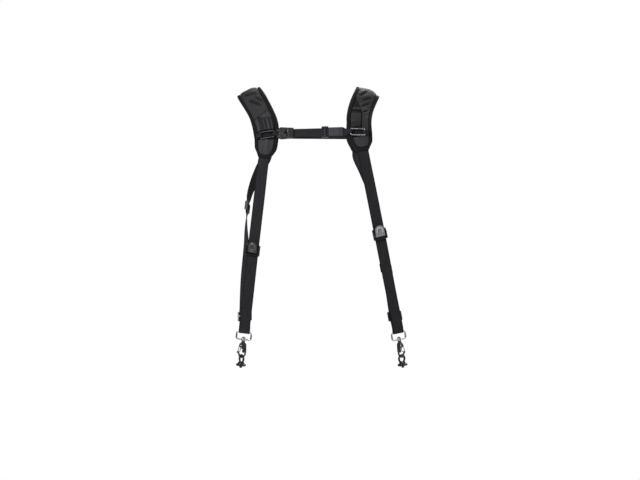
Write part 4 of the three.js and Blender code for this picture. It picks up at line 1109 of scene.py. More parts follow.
# The webbing's ends are tucked under the pad's binding, and its two lengths part by a hair where they meet.
TUCK = 0.0025
PART = 0.00015
for side, (front, rear) in ROUTES.items():
    pad, eye = PADS[side], eye_frame(side)
    tucked = on_pad(pad, np.array([TUCK, pad["length"] - TUCK]), 0.0, PAD_EDGE / 2)
    meet = at_height(rear, -SLIDER_DROP)
    lock = (at_height(front, -CAM_DROP[side]), CAM_HALF)
    fittings = [(meet, SLIDER_HALF), (at_height(rear, -ADJUSTER_DROP[side]), SLIDER_HALF)]
    down = run_of(front, 0, front["s"][-1], [lock])
    up = run_of(rear, 0, meet - PART, fittings)
    bend = np.radians(np.arange(12, 180, 12))[:, None]
    circle = np.concatenate([0 * bend, np.cos(bend), np.sin(bend)], axis=1)
    round_bar = out_of(eye, -PLY_OFFSET * circle)
    level = eye["x"] * SIDES[side] + 0 * round_bar
    outward = unit(round_bar - eye["at"])
    face_sign = 1 if np.dot(down["face"][-1], outward[0]) > 0 else -1
    x, h = webbing_section(STRAP_WIDTH, STRAP_THICK)
    front_piece = carried(
        f"front_webbing_{side}",
        np.concatenate([tucked[:1], down["at"], round_bar, up["at"]]),
        np.concatenate([down["across"][:1], down["across"], level, up["across"]]),
        np.concatenate([down["face"][:1], down["face"], outward * face_sign, up["face"]]),
        x,
        h,
    )
    dress(front_piece, WEBBING, "webbing", "root", f"front_strap_{side}")
    round_waist = run_of(rear, meet + PART, rear["s"][-1], fittings)
    places = np.concatenate([round_waist["at"], tucked[1:]])
    across, face = (np.concatenate([round_waist[key], round_waist[key][-1:]]) for key in ("across", "face"))
    rear_piece = carried(f"rear_webbing_{side}", places, across, face, x, h)
    dress(rear_piece, WEBBING, "webbing", "root", f"rear_strap_{side}")

# Cam locks: a black moulded frame whose bars guide the webbing, and a lever with a cam hub and its pin,
# which turns in the frame's cheeks. Both levers are painted metal with a raised arch round the thumb rest,
# the right one black and the left one grey, and a painted highlight lightens each arch's ridge.
CAM_PLY = STRAP_THICK / 2 + BINDING_GAP
HUB_RADIUS = 0.0034
PIN_RADIUS = 0.0015
PIN_HALF = 0.015
LEVER_HALF = 0.0105
LEVER_HEIGHT = 0.022
LEVER_TILT = math.radians(9)
CAM_AXIS = (0, -(CAM_PLY + HUB_RADIUS), -0.002)


def moulded(tree):
    """The fine grain of a mould or of paint."""
    return mottle(tree, in_place(tree), 0.0012, 6.0)


BLACK_PLASTIC = finish(
    "black_plastic",
    (0.003, 0.003, 0.0035),
    (0.009, 0.009, 0.01),
    lambda tree: mottle(tree, in_place(tree), 0.012),
    moulded,
    0.00005,
    (0.26, 0.42),
    Specular_IOR_Level=0.42,
)


def ridge_painted_highlight(tree):
    """Painted highlight: lighter along the raised arch than in the thumb rest."""
    return mixed(tree, tone_of(tree), mottle(tree, in_place(tree), 0.004), 0.15)


# The light colour of each paint is its painted highlight on the arch's ridge.
LEVER_PAINT = {
    side: finish(name, dark, light, ridge_painted_highlight, moulded, 0.00004, (0.46, 0.32), Specular_IOR_Level=0.5)
    for side, name, dark, light in (
        ("left", "grey_paint", (0.085, 0.085, 0.09), (0.42, 0.42, 0.44)),
        ("right", "black_paint", (0.004, 0.004, 0.0045), (0.075, 0.075, 0.08)),
    )
}


def rounded_edges(obj, width):
    """Rounds every edge sharper than 35 degrees by a bevel of three steps."""
    edge = obj.modifiers.new("round", "BEVEL")
    edge.width, edge.segments, edge.angle_limit, edge.harden_normals = width, 3, math.radians(35), False


def eased(name, width, material):
    """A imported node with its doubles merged, its flat faces cleared and its edges rounded."""
    obj = node[name]
    obj.modifiers.new("merge", "WELD").merge_threshold = 0.00001
    flat = obj.modifiers.new("clear", "DECIMATE")
    flat.decimate_type, flat.angle_limit = "DISSOLVE", math.radians(1)
    rounded_edges(obj, width)
    obj.data.materials.clear()
    obj.data.materials.append(material)
    obj.data.polygons.foreach_set("use_smooth", np.zeros(len(obj.data.polygons), bool))


def lathe(outline, steps=40):
    """A grid turned about z from places of (radius, height)."""
    outline = np.asarray(outline, float)
    turn = np.linspace(0, 2 * math.pi, steps, endpoint=False)
    radius, height = outline[:, :1], outline[:, 1:]
    return np.stack([radius * np.cos(turn), radius * np.sin(turn), height + 0 * turn], axis=-1)


def tube(path, normal, radius, closed=False, sides=16):
    """A grid of circles about a flat path, of one radius or one for each point; an open end is a half ball
    of three rings."""
    path = np.asarray(path, float)
    if closed:
        along = np.roll(path, -1, 0) - np.roll(path, 1, 0)
        size = np.ones(len(path))
    else:
        along = np.gradient(path, axis=0)
        bow = np.array([0.0, 0.55, 0.88])
        reach = radius * np.sqrt(1 - bow**2)
        before, after = (unit(along[k]) * reach[:, None] for k in (0, -1))
        path = np.concatenate([path[0] - before, path, (path[-1] + after)[::-1]])
        along = np.concatenate([along[:1]] * 3 + [along] + [along[-1:]] * 3)
        size = np.concatenate([bow, np.ones(len(path) - 6), bow[::-1]])
    side = unit(np.cross(normal, unit(along)))
    turn = np.linspace(0, 2 * math.pi, sides, endpoint=False)
    ring = side[:, None] * np.cos(turn)[None, :, None] + np.asarray(normal) * np.sin(turn)[None, :, None]
    return path[:, None] + ring * (radius * size)[:, None, None]


def rounded_box_line(width, height, corner, centre=(0, 0, 0), steps=9):
    """A rectangle with rounded corners in the xz plane."""
    turn = np.linspace(0, math.pi / 2, steps)
    corners = ((1, 1, 0), (-1, 1, 1), (-1, -1, 2), (1, -1, 3))
    rows = [
        np.stack(
            [
                x * (width / 2 - corner) + corner * np.cos(turn + k * math.pi / 2),
                0 * turn,
                z * (height / 2 - corner) + corner * np.sin(turn + k * math.pi / 2),
            ],
            axis=1,
        )
        for x, z, k in corners
    ]
    return np.concatenate(rows) + centre


def joined(name, group, *grids):
    """One mesh from several grids, each closed across, and along too where it is a ring."""
    points, faces, count = [], [], 0
    for grid, ring in grids:
        points.append(grid.reshape(-1, 3))
        faces.append(grid_faces(*grid.shape[:2], ring, True) + count)
        count += grid.shape[0] * grid.shape[1]
    return facing_out(new_mesh(name, out_of(group, np.concatenate(points)), np.concatenate(faces)))


def evenly(line, count):
    """A closed line with that many even steps."""
    closed = np.concatenate([line, line[:1]])
    run = lengths_along(closed)
    return looked_up(np.linspace(0, run[-1], count, endpoint=False), run, closed)


def tilted(points, angle):
    """Turned about x from y towards z."""
    x, y, z = np.moveaxis(points, -1, 0)
    c, s = np.cos(angle), np.sin(angle)
    return np.stack([x, y * c - z * s, y * s + z * c], axis=-1)


# The lever's face from its middle to the rim and round to the back: share of the outline, depth in
# millimetres, and how much of the raised arch it carries.
LEVER_FACE = np.array([
    (0, 2.5, 0), (0.25, 2.3, 0), (0.4, 2.1, 0), (0.46, 2.2, 0.1), (0.52, 2.7, 0.9), (0.58, 3.0, 1),
    (0.64, 3.0, 1), (0.7, 2.8, 0.9), (0.76, 2.6, 0.1), (0.82, 2.7, 0), (0.88, 3.1, 0), (0.94, 3.3, 0),
    (0.98, 3.1, 0), (1, 2.6, 0), (1, 1.8, 0), (0.98, 1.2, 0), (0.93, 1.0, 0), (0.5, 1.0, 0), (0, 1.0, 0),
])
LEVER_MIDDLE = (0, 0, 0.0105)
ARCH_RISE = 0.0012
FOOT_ROUND = 0.001


def lever_plate():
    """Shares of an arched outline about its middle; the depth follows the table, and the arch fades at its
    foot."""
    turn = np.linspace(0, math.pi, 33)
    shoulder = LEVER_HEIGHT - LEVER_HALF
    arch = np.stack([LEVER_HALF * np.cos(turn), 0 * turn, shoulder + 1.1 * LEVER_HALF * np.sin(turn)], axis=1)
    flat = LEVER_HALF - FOOT_ROUND
    foot = [(-LEVER_HALF, 0, FOOT_ROUND), (-flat, 0, 0), (flat, 0, 0), (LEVER_HALF, 0, FOOT_ROUND)]
    line = evenly(np.concatenate([arch, foot]), 96)
    share, deep, arched = (LEVER_FACE[:, k][:, None] for k in range(3))
    points = LEVER_MIDDLE + (line - LEVER_MIDDLE)[None] * share[..., None]
    points[..., 1] = -deep / 1000 - ARCH_RISE * arched * smooth(0.004, 0.007, points[..., 2])
    return tilted(points, LEVER_TILT)


# Half of the hub and its pin, from the hub's middle out to the pin's end: radius and place along.
HUB_HALF = [(HUB_RADIUS, 0.0101), (0.003, 0.0105), (PIN_RADIUS, 0.0106), (PIN_RADIUS, PIN_HALF - 0.0004),
            (0.0009, PIN_HALF), (0, PIN_HALF)]
HUB_LINE = [(radius, -place) for radius, place in HUB_HALF[::-1]] + HUB_HALF


def fitting_frame(way, s, sign, up):
    """The place of a fitting on a way: x across the webbing, z along it, either of them turned about."""
    rows = on_way(way, np.array([s]))
    return frame_at(rows["at"][0], rows["across"][0] * sign, rows["along"][0] * up)


for side, (front, _) in ROUTES.items():
    lock = fitting_frame(front, at_height(front, -CAM_DROP[side]), SIDES[side], -1)
    hinge = {**lock, "at": out_of(lock, CAM_AXIS)}
    eased(f"cam_frame_{side}", 0.0005, BLACK_PLASTIC)
    hub = lathe(HUB_LINE)[..., [2, 0, 1]]
    lever = joined(f"lever_{side}", hinge, (lever_plate(), False), (hub, False))
    local = (points_of(lever) - hinge["at"]) @ np.stack([hinge["x"], hinge["y"], hinge["z"]], axis=1)
    deep, high = -tilted(local, -LEVER_TILT)[:, 1], local[:, 2]
    # Painted highlight: the tone rises on the arch's raised ridge and stays low in the thumb rest.
    with_tone(lever, 0.3 + 0.7 * smooth(0.0033, 0.0041, deep) * smooth(0.004, 0.006, high))
    dress(lever, LEVER_PAINT[side], "lever", f"lever_{side}", f"cam_lever_{side}")

# Sliders on the rear webbing: black moulded plastic, with two rails, two end bars behind and one before. The
# webbing is threaded between the bars, and the lower slider also joins its two lengths.
for side in SIDES:
    for name in (f"rear_slider_{side}", f"rear_adjuster_{side}"):
        eased(name, 0.0006, BLACK_PLASTIC)

# Swivel eyes: steel wire bent into a rounded loop and nickel-plated, its upper bar in the webbing's fold. A
# bored boss is pressed on its lower bar, and the hook's post turns in it.
EYE_SPAN = (0.033, 0.017)
EYE_CORNER = 0.004
BOSS_TOP, BOSS_FOOT = -0.0145, -0.0195
# The wire is thicker below than in the webbing's fold: by how much, and the heights between which it grows.
WIRE_SWELL = 0.0005
SWELL_HEIGHTS = (-0.0025, -0.006)


def brushed(tree):
    """Fine scratches that run up the piece."""
    upright = {"Vector": in_place(tree), "Scale": (1.0, 1.0, 0.08)}
    return mottle(tree, step(tree, "ShaderNodeMapping", upright).outputs["Vector"], 0.0004, 5.0)


def tarnish(tree):
    """Soft patches a few millimetres wide under the scratches."""
    return mixed(tree, mottle(tree, in_place(tree), 0.004, 5.0), brushed(tree), 0.35)


def metal(name, dark, light, roughness, **shine):
    """A brushed and slightly tarnished metal."""
    return finish(name, dark, light, tarnish, brushed, 0.00003, roughness, **shine)


BRIGHT_NICKEL = metal("bright_nickel", (0.3, 0.3, 0.31), (0.62, 0.62, 0.64), (0.34, 0.18), Metallic=1.0)
# The boss from its bore round its foot and up: radius, and height from the upper bar.
BOSS_LINE = [(0.0025, -0.0192), (0.0028, BOSS_FOOT), (0.0042, BOSS_FOOT), (0.0046, -0.0191),
             (0.0046, -0.0149), (0.0042, BOSS_TOP), (0.0028, BOSS_TOP), (0.0025, -0.0148)]
for side in SIDES:
    eye = eye_frame(side)
    line = rounded_box_line(*EYE_SPAN, EYE_CORNER, (0, 0, -EYE_SPAN[1] / 2))
    wire = EYE_WIRE / 2 + WIRE_SWELL * smooth(*SWELL_HEIGHTS, line[:, 2])
    loop = tube(line, (0, 1, 0), wire, closed=True)
    piece = joined(f"eye_{side}", eye, (loop, True), (lathe(BOSS_LINE), True))
    dress(piece, BRIGHT_NICKEL, "bright_steel", "root", f"swivel_eye_{side}")

# Swivel hooks: cast gunmetal, a post that turns in the eye's boss, a flat body with a raised rib, and a round
# bow up to its nose; a sprung loop of wire closes the mouth.
HOOK_TURN = {"right": 35, "left": 50}
BODY_TOP, BODY_FOOT = -0.0238, -0.0478
BOW_HALF = 0.008
BOW_Z = BODY_FOOT - 0.002
GATE_AXIS = (-0.006, 0, BODY_TOP - 0.005)
GATE_LEAN = math.radians(11)
# The post from the body up through the boss to its riveted head: radius, and height from the eye's top bar.
POST_LINE = [(0, BODY_TOP - 0.001), (0.0038, BODY_TOP - 0.001), (0.0042, -0.0201), (0.0039, -0.0198),
             (0.0022, -0.0198), (0.0022, -0.0142), (0.0033, -0.0142), (0.0036, -0.0139), (0.0036, -0.0129),
             (0.0032, -0.0121), (0.0022, -0.0113), (0, -0.0112)]
# The body's edges and its rib's: height from the body's top, left and right, in millimetres.
BODY_EDGES = np.array([(1, -3.2, 3.2), (-1.5, -6.5, 5.6), (-4, -9, 8), (-8, -9, 8.6), (-11, -7.2, 9),
                       (-13.5, -4.4, 9.3), (-16, 0.3, 9.5), (-24, 0.5, 10)])
RIB_EDGES = np.array([(-4.5, 3, 5.5), (-7, 2.2, 7.4), (-20, 2.2, 7.6), (-22.5, 3, 6.5)])
BODY_HALF_THICK, RIB_HALF_THICK = 0.0025, 0.0035
BOW_WIRE_RADIUS, GATE_WIRE_RADIUS = 0.002, 0.001
GATE_SIZE = (0.0076, 0.0154)
GATE_CORNER = 0.0014
END_ROUND = 0.0008
GUNMETAL = metal("gunmetal", (0.035, 0.034, 0.036), (0.13, 0.127, 0.13), (0.42, 0.24), Metallic=1.0)


def cast_slab(edges, half_thick, rows=26, sides=40):
    """Rings down the body: each is an ellipse of the fifth power between its left and right edges, and both
    ends draw in as quarter circles."""
    height = np.linspace(edges[0, 0], edges[-1, 0], rows) / 1000
    left, right = (np.interp(-height * 1000, -edges[:, 0], edges[:, k]) / 1000 for k in (1, 2))
    from_end = np.minimum(height[0] - height, height - height[-1])
    end = np.sqrt(1 - (1 - np.clip(from_end / END_ROUND, 0, 1)) ** 2)
    end = np.where(end < 0.4, 0, end)
    turn = np.linspace(0, 2 * math.pi, sides, endpoint=False)
    wide = np.sign(np.cos(turn)) * np.abs(np.cos(turn)) ** 0.4
    deep = np.sign(np.sin(turn)) * np.abs(np.sin(turn)) ** 0.4
    draw = (0.7 + 0.3 * end)[:, None]
    x = (left + right)[:, None] / 2 + (right - left)[:, None] / 2 * wide * draw
    y = half_thick * deep * end[:, None]
    return np.stack([x, y, BODY_TOP + height[:, None] + 0 * x], axis=-1)


def bow_line():
    """Down the spine, half a circle, and out to the nose."""
    turn = np.radians(np.linspace(0, -180, 25))
    bend = np.stack([BOW_HALF * np.cos(turn), 0 * turn, BOW_Z + BOW_HALF * np.sin(turn)], axis=1)
    nose = [(-BOW_HALF - 0.0016, 0, BOW_Z + 0.0022), (-BOW_HALF - 0.0046, 0, BOW_Z + 0.0044)]
    return np.concatenate([[(BOW_HALF, 0, BODY_FOOT + 0.003)], bend, nose])


def gate_loop():
    """A rounded loop of wire hung from its hinge bar, turned across the hook and leaned to its nose."""
    line = rounded_box_line(*GATE_SIZE, GATE_CORNER, (0, 0, -GATE_SIZE[1] / 2), 5)
    points = tube(line, (0, 1, 0), GATE_WIRE_RADIUS, closed=True, sides=10)
    x, y, z = -points[..., 1], points[..., 0], points[..., 2]
    c, s = math.cos(GATE_LEAN), math.sin(GATE_LEAN)
    return np.stack([x * c + z * s, y, z * c - x * s], axis=-1) + GATE_AXIS


def hook_frame(side):
    """The eye's place and height, with x turned to the hook's own side about its post."""
    eye, sign = eye_frame(side), SIDES[side]
    level = level_direction(HOOK_TURN[side] if sign > 0 else 180 - HOOK_TURN[side])
    return frame_at(eye["at"], squared(level, eye["z"]), eye["z"])


for side in SIDES:
    hook = hook_frame(side)
    body, rib = cast_slab(BODY_EDGES, BODY_HALF_THICK), cast_slab(RIB_EDGES, RIB_HALF_THICK, 20)
    bow = tube(bow_line(), (0, 1, 0), BOW_WIRE_RADIUS)
    piece = joined(f"hook_{side}", hook, *((grid, False) for grid in (lathe(POST_LINE), body, rib, bow)))
    dress(piece, GUNMETAL, "gunmetal", f"hook_{side}", f"swivel_hook_{side}")
    gate = joined(f"gate_{side}", hook, (gate_loop(), True))
    dress(gate, BRIGHT_NICKEL, "bright_steel", f"gate_{side}", f"hook_gate_{side}")

# Ring fasteners: turned metal with a black coat, a ring on a short foot, a flange knurled round its edge for
# the fingers, and a quarter-inch screw stud. The ring hangs on the hook's bow.
RING_CENTRE = -0.0037
RING_RADIUS = 0.0083
RING_WIRE_RADIUS = 0.0023
FLANGE_RADIUS = 0.011
STUD_RADIUS = 0.003175
STUD_TOP, STUD_FOOT = -0.0197, -0.0243
THREAD_PITCH = 0.00127
KNURLS = 44
KNURL_DEPTH = 0.012
# The foot and the flange from the ring down to the stud: radius, and height from the bow's lowest point.
FOOT_LINE = [(0, -0.0111), (0.0062, -0.0111), (0.0069, -0.0116), (0.00704, -0.0122), (0.00704, -0.0148),
             (0.0076, -0.0153), (0.0102, -0.0154), (0.0107, -0.0156), (FLANGE_RADIUS, -0.0161),
             (FLANGE_RADIUS, -0.0187), (0.0107, -0.0192), (0.0102, -0.0193), (STUD_RADIUS, -0.0193)]
BLACK_METAL = metal(
    "black_metal",
    (0.004, 0.004, 0.0045),
    (0.016, 0.016, 0.017),
    (0.4, 0.26),
    Metallic=0.3,
    Specular_IOR_Level=0.5,
)


def fastener_foot():
    """A lathe line with a flange whose rim waves round it as a cosine, and a stud of ridged rings, one for
    each pitch of the thread."""
    marks = np.arange(STUD_TOP, STUD_FOOT, -THREAD_PITCH / 4)
    ridges = np.resize([STUD_RADIUS, 0.0029, 0.0026, 0.0029], len(marks))
    line = np.array(FOOT_LINE + list(zip(ridges, marks)) + [(0.0022, STUD_FOOT), (0, STUD_FOOT)])
    grid = lathe(line, 4 * KNURLS)
    rim = smooth(0.0106, FLANGE_RADIUS, line[:, 0])[:, None]
    wave = 1 + KNURL_DEPTH * rim * np.cos(np.linspace(0, 2 * math.pi * KNURLS, 4 * KNURLS, endpoint=False))
    grid[..., :2] *= wave[..., None]
    return grid


for side in SIDES:
    hook = hook_frame(side)
    turn = np.linspace(0, 2 * math.pi, 48, endpoint=False)
    circle = np.stack([0 * turn, RING_RADIUS * np.cos(turn), RING_RADIUS * np.sin(turn)], axis=1)
    ring = tube(circle + [0, 0, RING_CENTRE], (1, 0, 0), RING_WIRE_RADIUS, closed=True)
    held = {**hook, "at": out_of(hook, (0, 0, BOW_Z - BOW_HALF))}
    piece = joined(f"fastener_{side}", held, (ring, True), (fastener_foot(), False))
    dress(piece, BLACK_METAL, "black_metal", f"fastener_{side}", f"ring_fastener_{side}")

# Chest rings: rectangular wire loops, nickel-plated on the left and black on the right, each held on its pad
# by a tab of narrow webbing that is folded round the outer bar and sewn down.
CHEST_DROP = {"right": 0.095, "left": 0.089}
RING_INSET = {"right": 0.022, "left": 0.0175}
RING_BAR = 0.0025
RING_LONG, RING_TALL = 0.034, 0.017
RING_MID = (RING_LONG - RING_BAR) / 2
CHEST_THICK = 0.0016
CHEST_WIDTH = 0.019
TAB_WIDTH = 0.01
TAB_OFFSET = RING_BAR / 2 + BINDING_GAP + CHEST_THICK / 2
TAB_LAP = 0.008
RING_CORNER = 0.002
RING_CLEAR = 0.0005
RINGS = {}


def pad_direction(pad, s, key):
    """One of a pad's three directions at one length along it."""
    return unit(looked_up(np.array([s]), pad["s"], pad[key])[0])


chest_place = {side: length_at_height(pad, -CHEST_DROP[side]) for side, pad in PADS.items()}
bar_up = unit(sum(pad_direction(pad, chest_place[side], "along") for side, pad in PADS.items()))
for side, pad in PADS.items():
    s = chest_place[side]
    t = pad_half(pad, s) - RING_INSET[side]
    over_tab = crown(pad, s, t - RING_MID) + 2 * BINDING_GAP + CHEST_THICK + RING_BAR / 2
    lift = max(over_tab, PAD_EDGE + PAD_CROWN + RING_CLEAR + RING_BAR / 2) + BINDING_GAP
    bar_along = squared(pad_direction(pad, s, "across"), bar_up)
    held = frame_at(on_pad(pad, s, t, lift), bar_along, bar_up * SIDES[side])
    RINGS[side] = held
    line = rounded_box_line(RING_LONG - RING_BAR, RING_TALL - RING_BAR, RING_CORNER, steps=6)
    ring = joined(f"chest_loop_ring_{side}", held, (tube(line, (0, 1, 0), RING_BAR / 2, closed=True), True))
    metal, slot = (BRIGHT_NICKEL, "bright_steel") if side == "left" else (BLACK_METAL, "black_metal")
    dress(ring, metal, slot, "root", f"chest_ring_{side}")
    turn = np.radians(np.linspace(-90, 90, 13))[:, None]
    bend = TAB_OFFSET * np.concatenate([np.cos(turn), np.sin(turn), 0 * turn], axis=1)
    ends = [[(-TAB_LAP, depth, 0)] for depth in (-TAB_OFFSET, TAB_OFFSET)]
    path = np.concatenate([ends[0], bend, ends[1]]) - [RING_MID, 0, 0]
    away = np.concatenate([[(0, -1, 0)], bend / TAB_OFFSET, [(0, 1, 0)]])
    turned = {**held, "at": np.zeros(3)}
    x, h = webbing_section(TAB_WIDTH, CHEST_THICK)
    tab = carried(f"ring_tab_{side}", out_of(held, path), held["z"] + 0 * path, out_of(turned, away), x, h)
    dress(tab, WEBBING, "webbing", "root", f"chest_tab_{side}")

# Chest strap: 19 mm webbing from the buckle's tail to the left ring, where it narrows, folds round the bar
# and is sewn. A slider and a smoother doubled length lie on it, and a short loop ties the buckle of black
# moulded plastic to the right ring.
bar_right, bar_left = (out_of(RINGS[side], (RING_MID, 0, 0)) for side in ("right", "left"))
CHEST_SPAN = float(np.linalg.norm(bar_left - bar_right))
CHEST = frame_at(bar_right, unit(bar_left - bar_right), bar_up)
SOCKET_BAR = 0.007
TAPER = 0.015
TAPER_RUN = 0.008
SLIDER_X = 0.665 * CHEST_SPAN
WEBBING_FROM = 0.0383
CHEST_SMOOTH = finish(
    "smooth_webbing",
    (0.012, 0.012, 0.016),
    (0.032, 0.032, 0.041),
    webbing_shade,
    webbing_weave,
    0.00015,
    (0.6, 0.5),
    Specular_IOR_Level=0.3,
    Sheen_Weight=0.05,
)


def mirrored(outline):
    """The same outline on the other side of the strap's middle line."""
    return [(x, -z) for x, z in outline]


# The buckle's socket in millimetres: two faces notched at the mouth, so that one sees between the prongs, a
# rear wall, four cheeks beside the side windows, and a tail frame for the loop.
SOCKET_FACE = [(10.5, -11), (15.5, -13), (29.8, -12), (29.8, -8), (22, 0),
               (29.8, 8), (29.8, 12), (15.5, 13), (10.5, 11)]
SOCKET_REAR = [(10.5, -11), (13.4, -11.6), (13.4, 11.6), (10.5, 11)]
REAR_CHEEK = [(12.5, 10.2), (16.5, 10.2), (16.5, 12.95), (15.5, 13), (12.5, 11.8)]
MOUTH_CHEEK = [(24.8, 10.3), (29.8, 10.3), (29.8, 12), (24.8, 12.35)]
SOCKET_TAIL = [(11.5, -10), (11.5, -5.3), (8.25, -5.3), (8.25, 5.3),
               (11.5, 5.3), (11.5, 10), (5.75, 10), (5.75, -10)]
# Its plug: two sprung prongs, a thin guide between them, and a tail with a pocket for the webbing.
PRONG = [(15.5, 7), (17, 11), (23.8, 12.4), (24.4, 9.5), (31.1, 9.5), (31.1, 8), (22.8, 7.4)]
GUIDE = [(14.5, -0.8), (31.1, -0.8), (31.1, 0.8), (14.5, 0.8)]
PLUG_FACE = [(30.1, -12), (43, -11), (43, 11), (30.1, 12)]
PLUG_WALL = [(30.1, -12), (38, -11.4), (38, 11.4), (30.1, 12)]
PLATE_ROUND = 0.0008


def solid_of(name, group, *plates):
    """Flat plates with rounded edges in a group's xz plane, each an outline and its two depths in
    millimetres."""
    points, faces, count = [], [], 0
    for outline, low, high in plates:
        ring = np.arange(len(outline))
        after = np.roll(ring, -1)
        points += [(x, depth, z) for depth in (low, high) for x, z in outline]
        faces += [(ring + count).tolist(), (ring[::-1] + count + len(ring)).tolist()]
        faces += (np.stack([after, ring, ring + len(ring), after + len(ring)], axis=1) + count).tolist()
        count += 2 * len(ring)
    mesh = bpy.data.meshes.new(name)
    mesh.from_pydata((out_of(group, np.array(points) / 1000)).tolist(), [], faces)
    obj = bpy.data.objects.new(name, mesh)
    bpy.context.scene.collection.objects.link(obj)
    facing_out(obj)
    obj.data.polygons.foreach_set("use_smooth", np.zeros(len(obj.data.polygons), bool))
    rounded_edges(obj, PLATE_ROUND)
    return obj


def box_stitch(name, group, low, high, y):
    """Stitches along a box and its diagonals in a group's xz plane, at one depth, on the side of its -y."""
    corner = np.array([(x, y, z) for x, z in (low, (high[0], low[1]), high, (low[0], high[1]))])
    line = out_of(group, corner[[0, 1, 2, 3, 0, 2, 3, 1]])
    stitches(name, line, lengths_along(line), lambda place: -group["y"] + 0 * place[:, None])


def flat_band(name, path, width, thick, closed=False):
    """Webbing whose width stands along the chest group's z, on a path in its xy plane; the width is one
    value for each point of the path."""
    path = np.asarray(path, float)
    ahead = np.roll(path, -1, 0) - np.roll(path, 1, 0) if closed else np.gradient(path, axis=0)
    face = unit(np.stack([ahead[:, 1], -ahead[:, 0], 0 * ahead[:, 0]], axis=1))
    turned = {**CHEST, "at": np.zeros(3)}
    x, h = webbing_section(1.0, thick)
    x = x[None] * np.asarray(width, float).reshape(-1, 1)
    return carried(name, out_of(CHEST, path), CHEST["z"] + 0 * path, out_of(turned, face), x, h, closed)


def level_line(start, stop, y0, y1, count):
    """A run along x whose depth passes smoothly from one value to another."""
    x = np.linspace(start, stop, count)
    return np.stack([x, y0 + (y1 - y0) * smooth(start, stop, x), 0 * x], axis=1)


def round_bar_at(place, degrees, count):
    """An arc about a bar at a place along x, from minus to plus that many degrees from +x."""
    turn = np.radians(np.linspace(-degrees, degrees, count))
    return np.stack([place + TAB_OFFSET * np.cos(turn), TAB_OFFSET * np.sin(turn), 0 * turn], axis=1)


STRAP_ROWS, TAPER_ROWS = 50, 9
CLEAR_X = 0.001
fold_from = CHEST_SPAN - TAPER
path = np.concatenate([
    level_line(WEBBING_FROM, fold_from, 0, 0, STRAP_ROWS),
    level_line(fold_from + CLEAR_X, CHEST_SPAN - CLEAR_X, 0, -TAB_OFFSET, TAPER_ROWS),
    round_bar_at(CHEST_SPAN, 80, 13),
    level_line(CHEST_SPAN - CLEAR_X, fold_from, TAB_OFFSET, TAB_OFFSET + CHEST_THICK, TAPER_ROWS),
])
width = CHEST_WIDTH + (TAB_WIDTH - CHEST_WIDTH) * smooth(fold_from, fold_from + TAPER_RUN, path[:, 0])
width[STRAP_ROWS + TAPER_ROWS:] = TAB_WIDTH
chest = flat_band("chest_strap", path, width, CHEST_THICK)
dress(chest, WEBBING, "webbing", "root", "chest_webbing")
# The doubled length lies in front of the strap from beside the slider to the taper, and is a little wider.
DOUBLING_ROWS = 14
DOUBLING_WIDTH = CHEST_WIDTH + 0.0016
BESIDE_SLIDER = 0.0078
in_front = -CHEST_THICK - BINDING_GAP
doubled = level_line(SLIDER_X + BESIDE_SLIDER, fold_from - CLEAR_X, in_front, in_front, DOUBLING_ROWS)
doubling = flat_band("chest_strap_end", doubled, np.full(DOUBLING_ROWS, DOUBLING_WIDTH), CHEST_THICK)
dress(doubling, CHEST_SMOOTH, "webbing", "root", "chest_doubling")
low, high = (fold_from - 0.0105, -0.0078), (fold_from - 0.003, 0.0078)
box_stitch("doubling_thread", CHEST, low, high, in_front - CHEST_THICK / 2)
tab_front = -TAB_OFFSET - CHEST_THICK / 2
for side, held in RINGS.items():
    low, high = (-RING_MID - 0.0072, -0.0034), (-RING_MID - 0.0025, 0.0034)
    box_stitch(f"tab_thread_{side}", held, low, high, tab_front)
round_bars = np.concatenate([round_bar_at(SOCKET_BAR, 90, 11), round_bar_at(0, 90, 11) * [-1, -1, 1]])
loop = flat_band("buckle_loop", round_bars, np.full(len(round_bars), TAB_WIDTH), CHEST_THICK, closed=True)
dress(loop, WEBBING, "webbing", "root", "chest_loop")
eased("chest_slider", 0.0005, BLACK_PLASTIC)
socket = solid_of(
    "socket",
    CHEST,
    (SOCKET_FACE, -4.5, -2.9),
    (SOCKET_FACE, 2.9, 4.5),
    (SOCKET_REAR, -3, 3),
    (SOCKET_TAIL, -1.25, 1.25),
    *((cheek, -3, 3) for one in (REAR_CHEEK, MOUTH_CHEEK) for cheek in (mirrored(one), one)),
)
dress(socket, BLACK_PLASTIC, "black_plastic", "root", "buckle_socket")
plug = solid_of(
    "plug",
    CHEST,
    (PRONG, -2.6, 2.6),
    (mirrored(PRONG), -2.6, 2.6),
    (GUIDE, -1, 1),
    (PLUG_FACE, -4.5, -1.1),
    (PLUG_FACE, 1.1, 4.5),
    (PLUG_WALL, -1.2, 1.2),
)
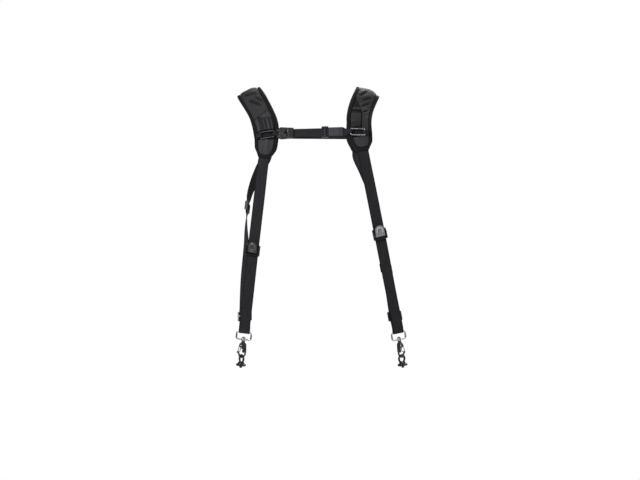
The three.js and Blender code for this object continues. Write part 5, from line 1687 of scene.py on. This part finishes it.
dress(plug, BLACK_PLASTIC, "black_plastic", "root", "buckle_plug")

# Back link: a plain length of 19 mm webbing that spans the back between the pads. It lies on both pads' inner
# edges and is sewn down there with a box stitch.
LINK_DROP = 0.1
LINK_LAP = 0.012
LINK_OVERHANG = 0.002
CLEAR_OF_FOAM, CLEAR_OF_TAPE = 0.001, 0.0005
LINK_SEWN = (0.0065, 0.0075)


def link_end(pad):
    """The two places on a pad that the link lies on, over the foam and over the binding, and the way up."""
    rear = pad["s"] > pad["length"] / 2
    s = np.interp(LINK_DROP, -pad["at"][rear, 2], pad["s"][rear])
    lap, edge = pad_half(pad, s) - LINK_LAP, pad_half(pad, s) + LINK_OVERHANG
    on_foam = crown(pad, s, lap) + CLEAR_OF_FOAM + CHEST_THICK / 2
    on_tape = PAD_EDGE + BINDING_GAP + BINDING_THICK + CLEAR_OF_TAPE + CHEST_THICK / 2
    places = on_pad(pad, s, np.array([lap, edge]), np.array([on_foam, on_tape]))
    return places, -pad_direction(pad, s, "along")


(at_right, up_right), (at_left, up_left) = (link_end(PADS[side]) for side in ("right", "left"))
corners = np.concatenate([at_right, at_left[::-1]])
run = lengths_along(corners)
marks = np.unique(np.concatenate([np.linspace(0, run[-1], 80), run]))
share = (marks / run[-1])[:, None]
path = looked_up(marks, run, corners)
across = unit(up_right + (up_left - up_right) * share)
ahead = unit(np.gradient(path, axis=0))
across = unit(across - ahead * np.sum(across * ahead, axis=1, keepdims=True))
section = webbing_section(CHEST_WIDTH, CHEST_THICK)
link = carried("back_link_webbing", path, across, np.cross(ahead, across), *section)
dress(link, WEBBING, "webbing", "root", "back_link")
for side, at, up in (("right", at_right, up_right), ("left", at_left, up_left)):
    sign = SIDES[side]
    lap = frame_at(at[0] + (at[1] - at[0]) * 0.1, -sign * (at[1] - at[0]), up)
    low, high = sorted((0, -sign * LINK_SEWN[0]))
    box_stitch(f"link_thread_{side}", lap, (low, -LINK_SEWN[1]), (high, LINK_SEWN[1]), -CHEST_THICK / 2)
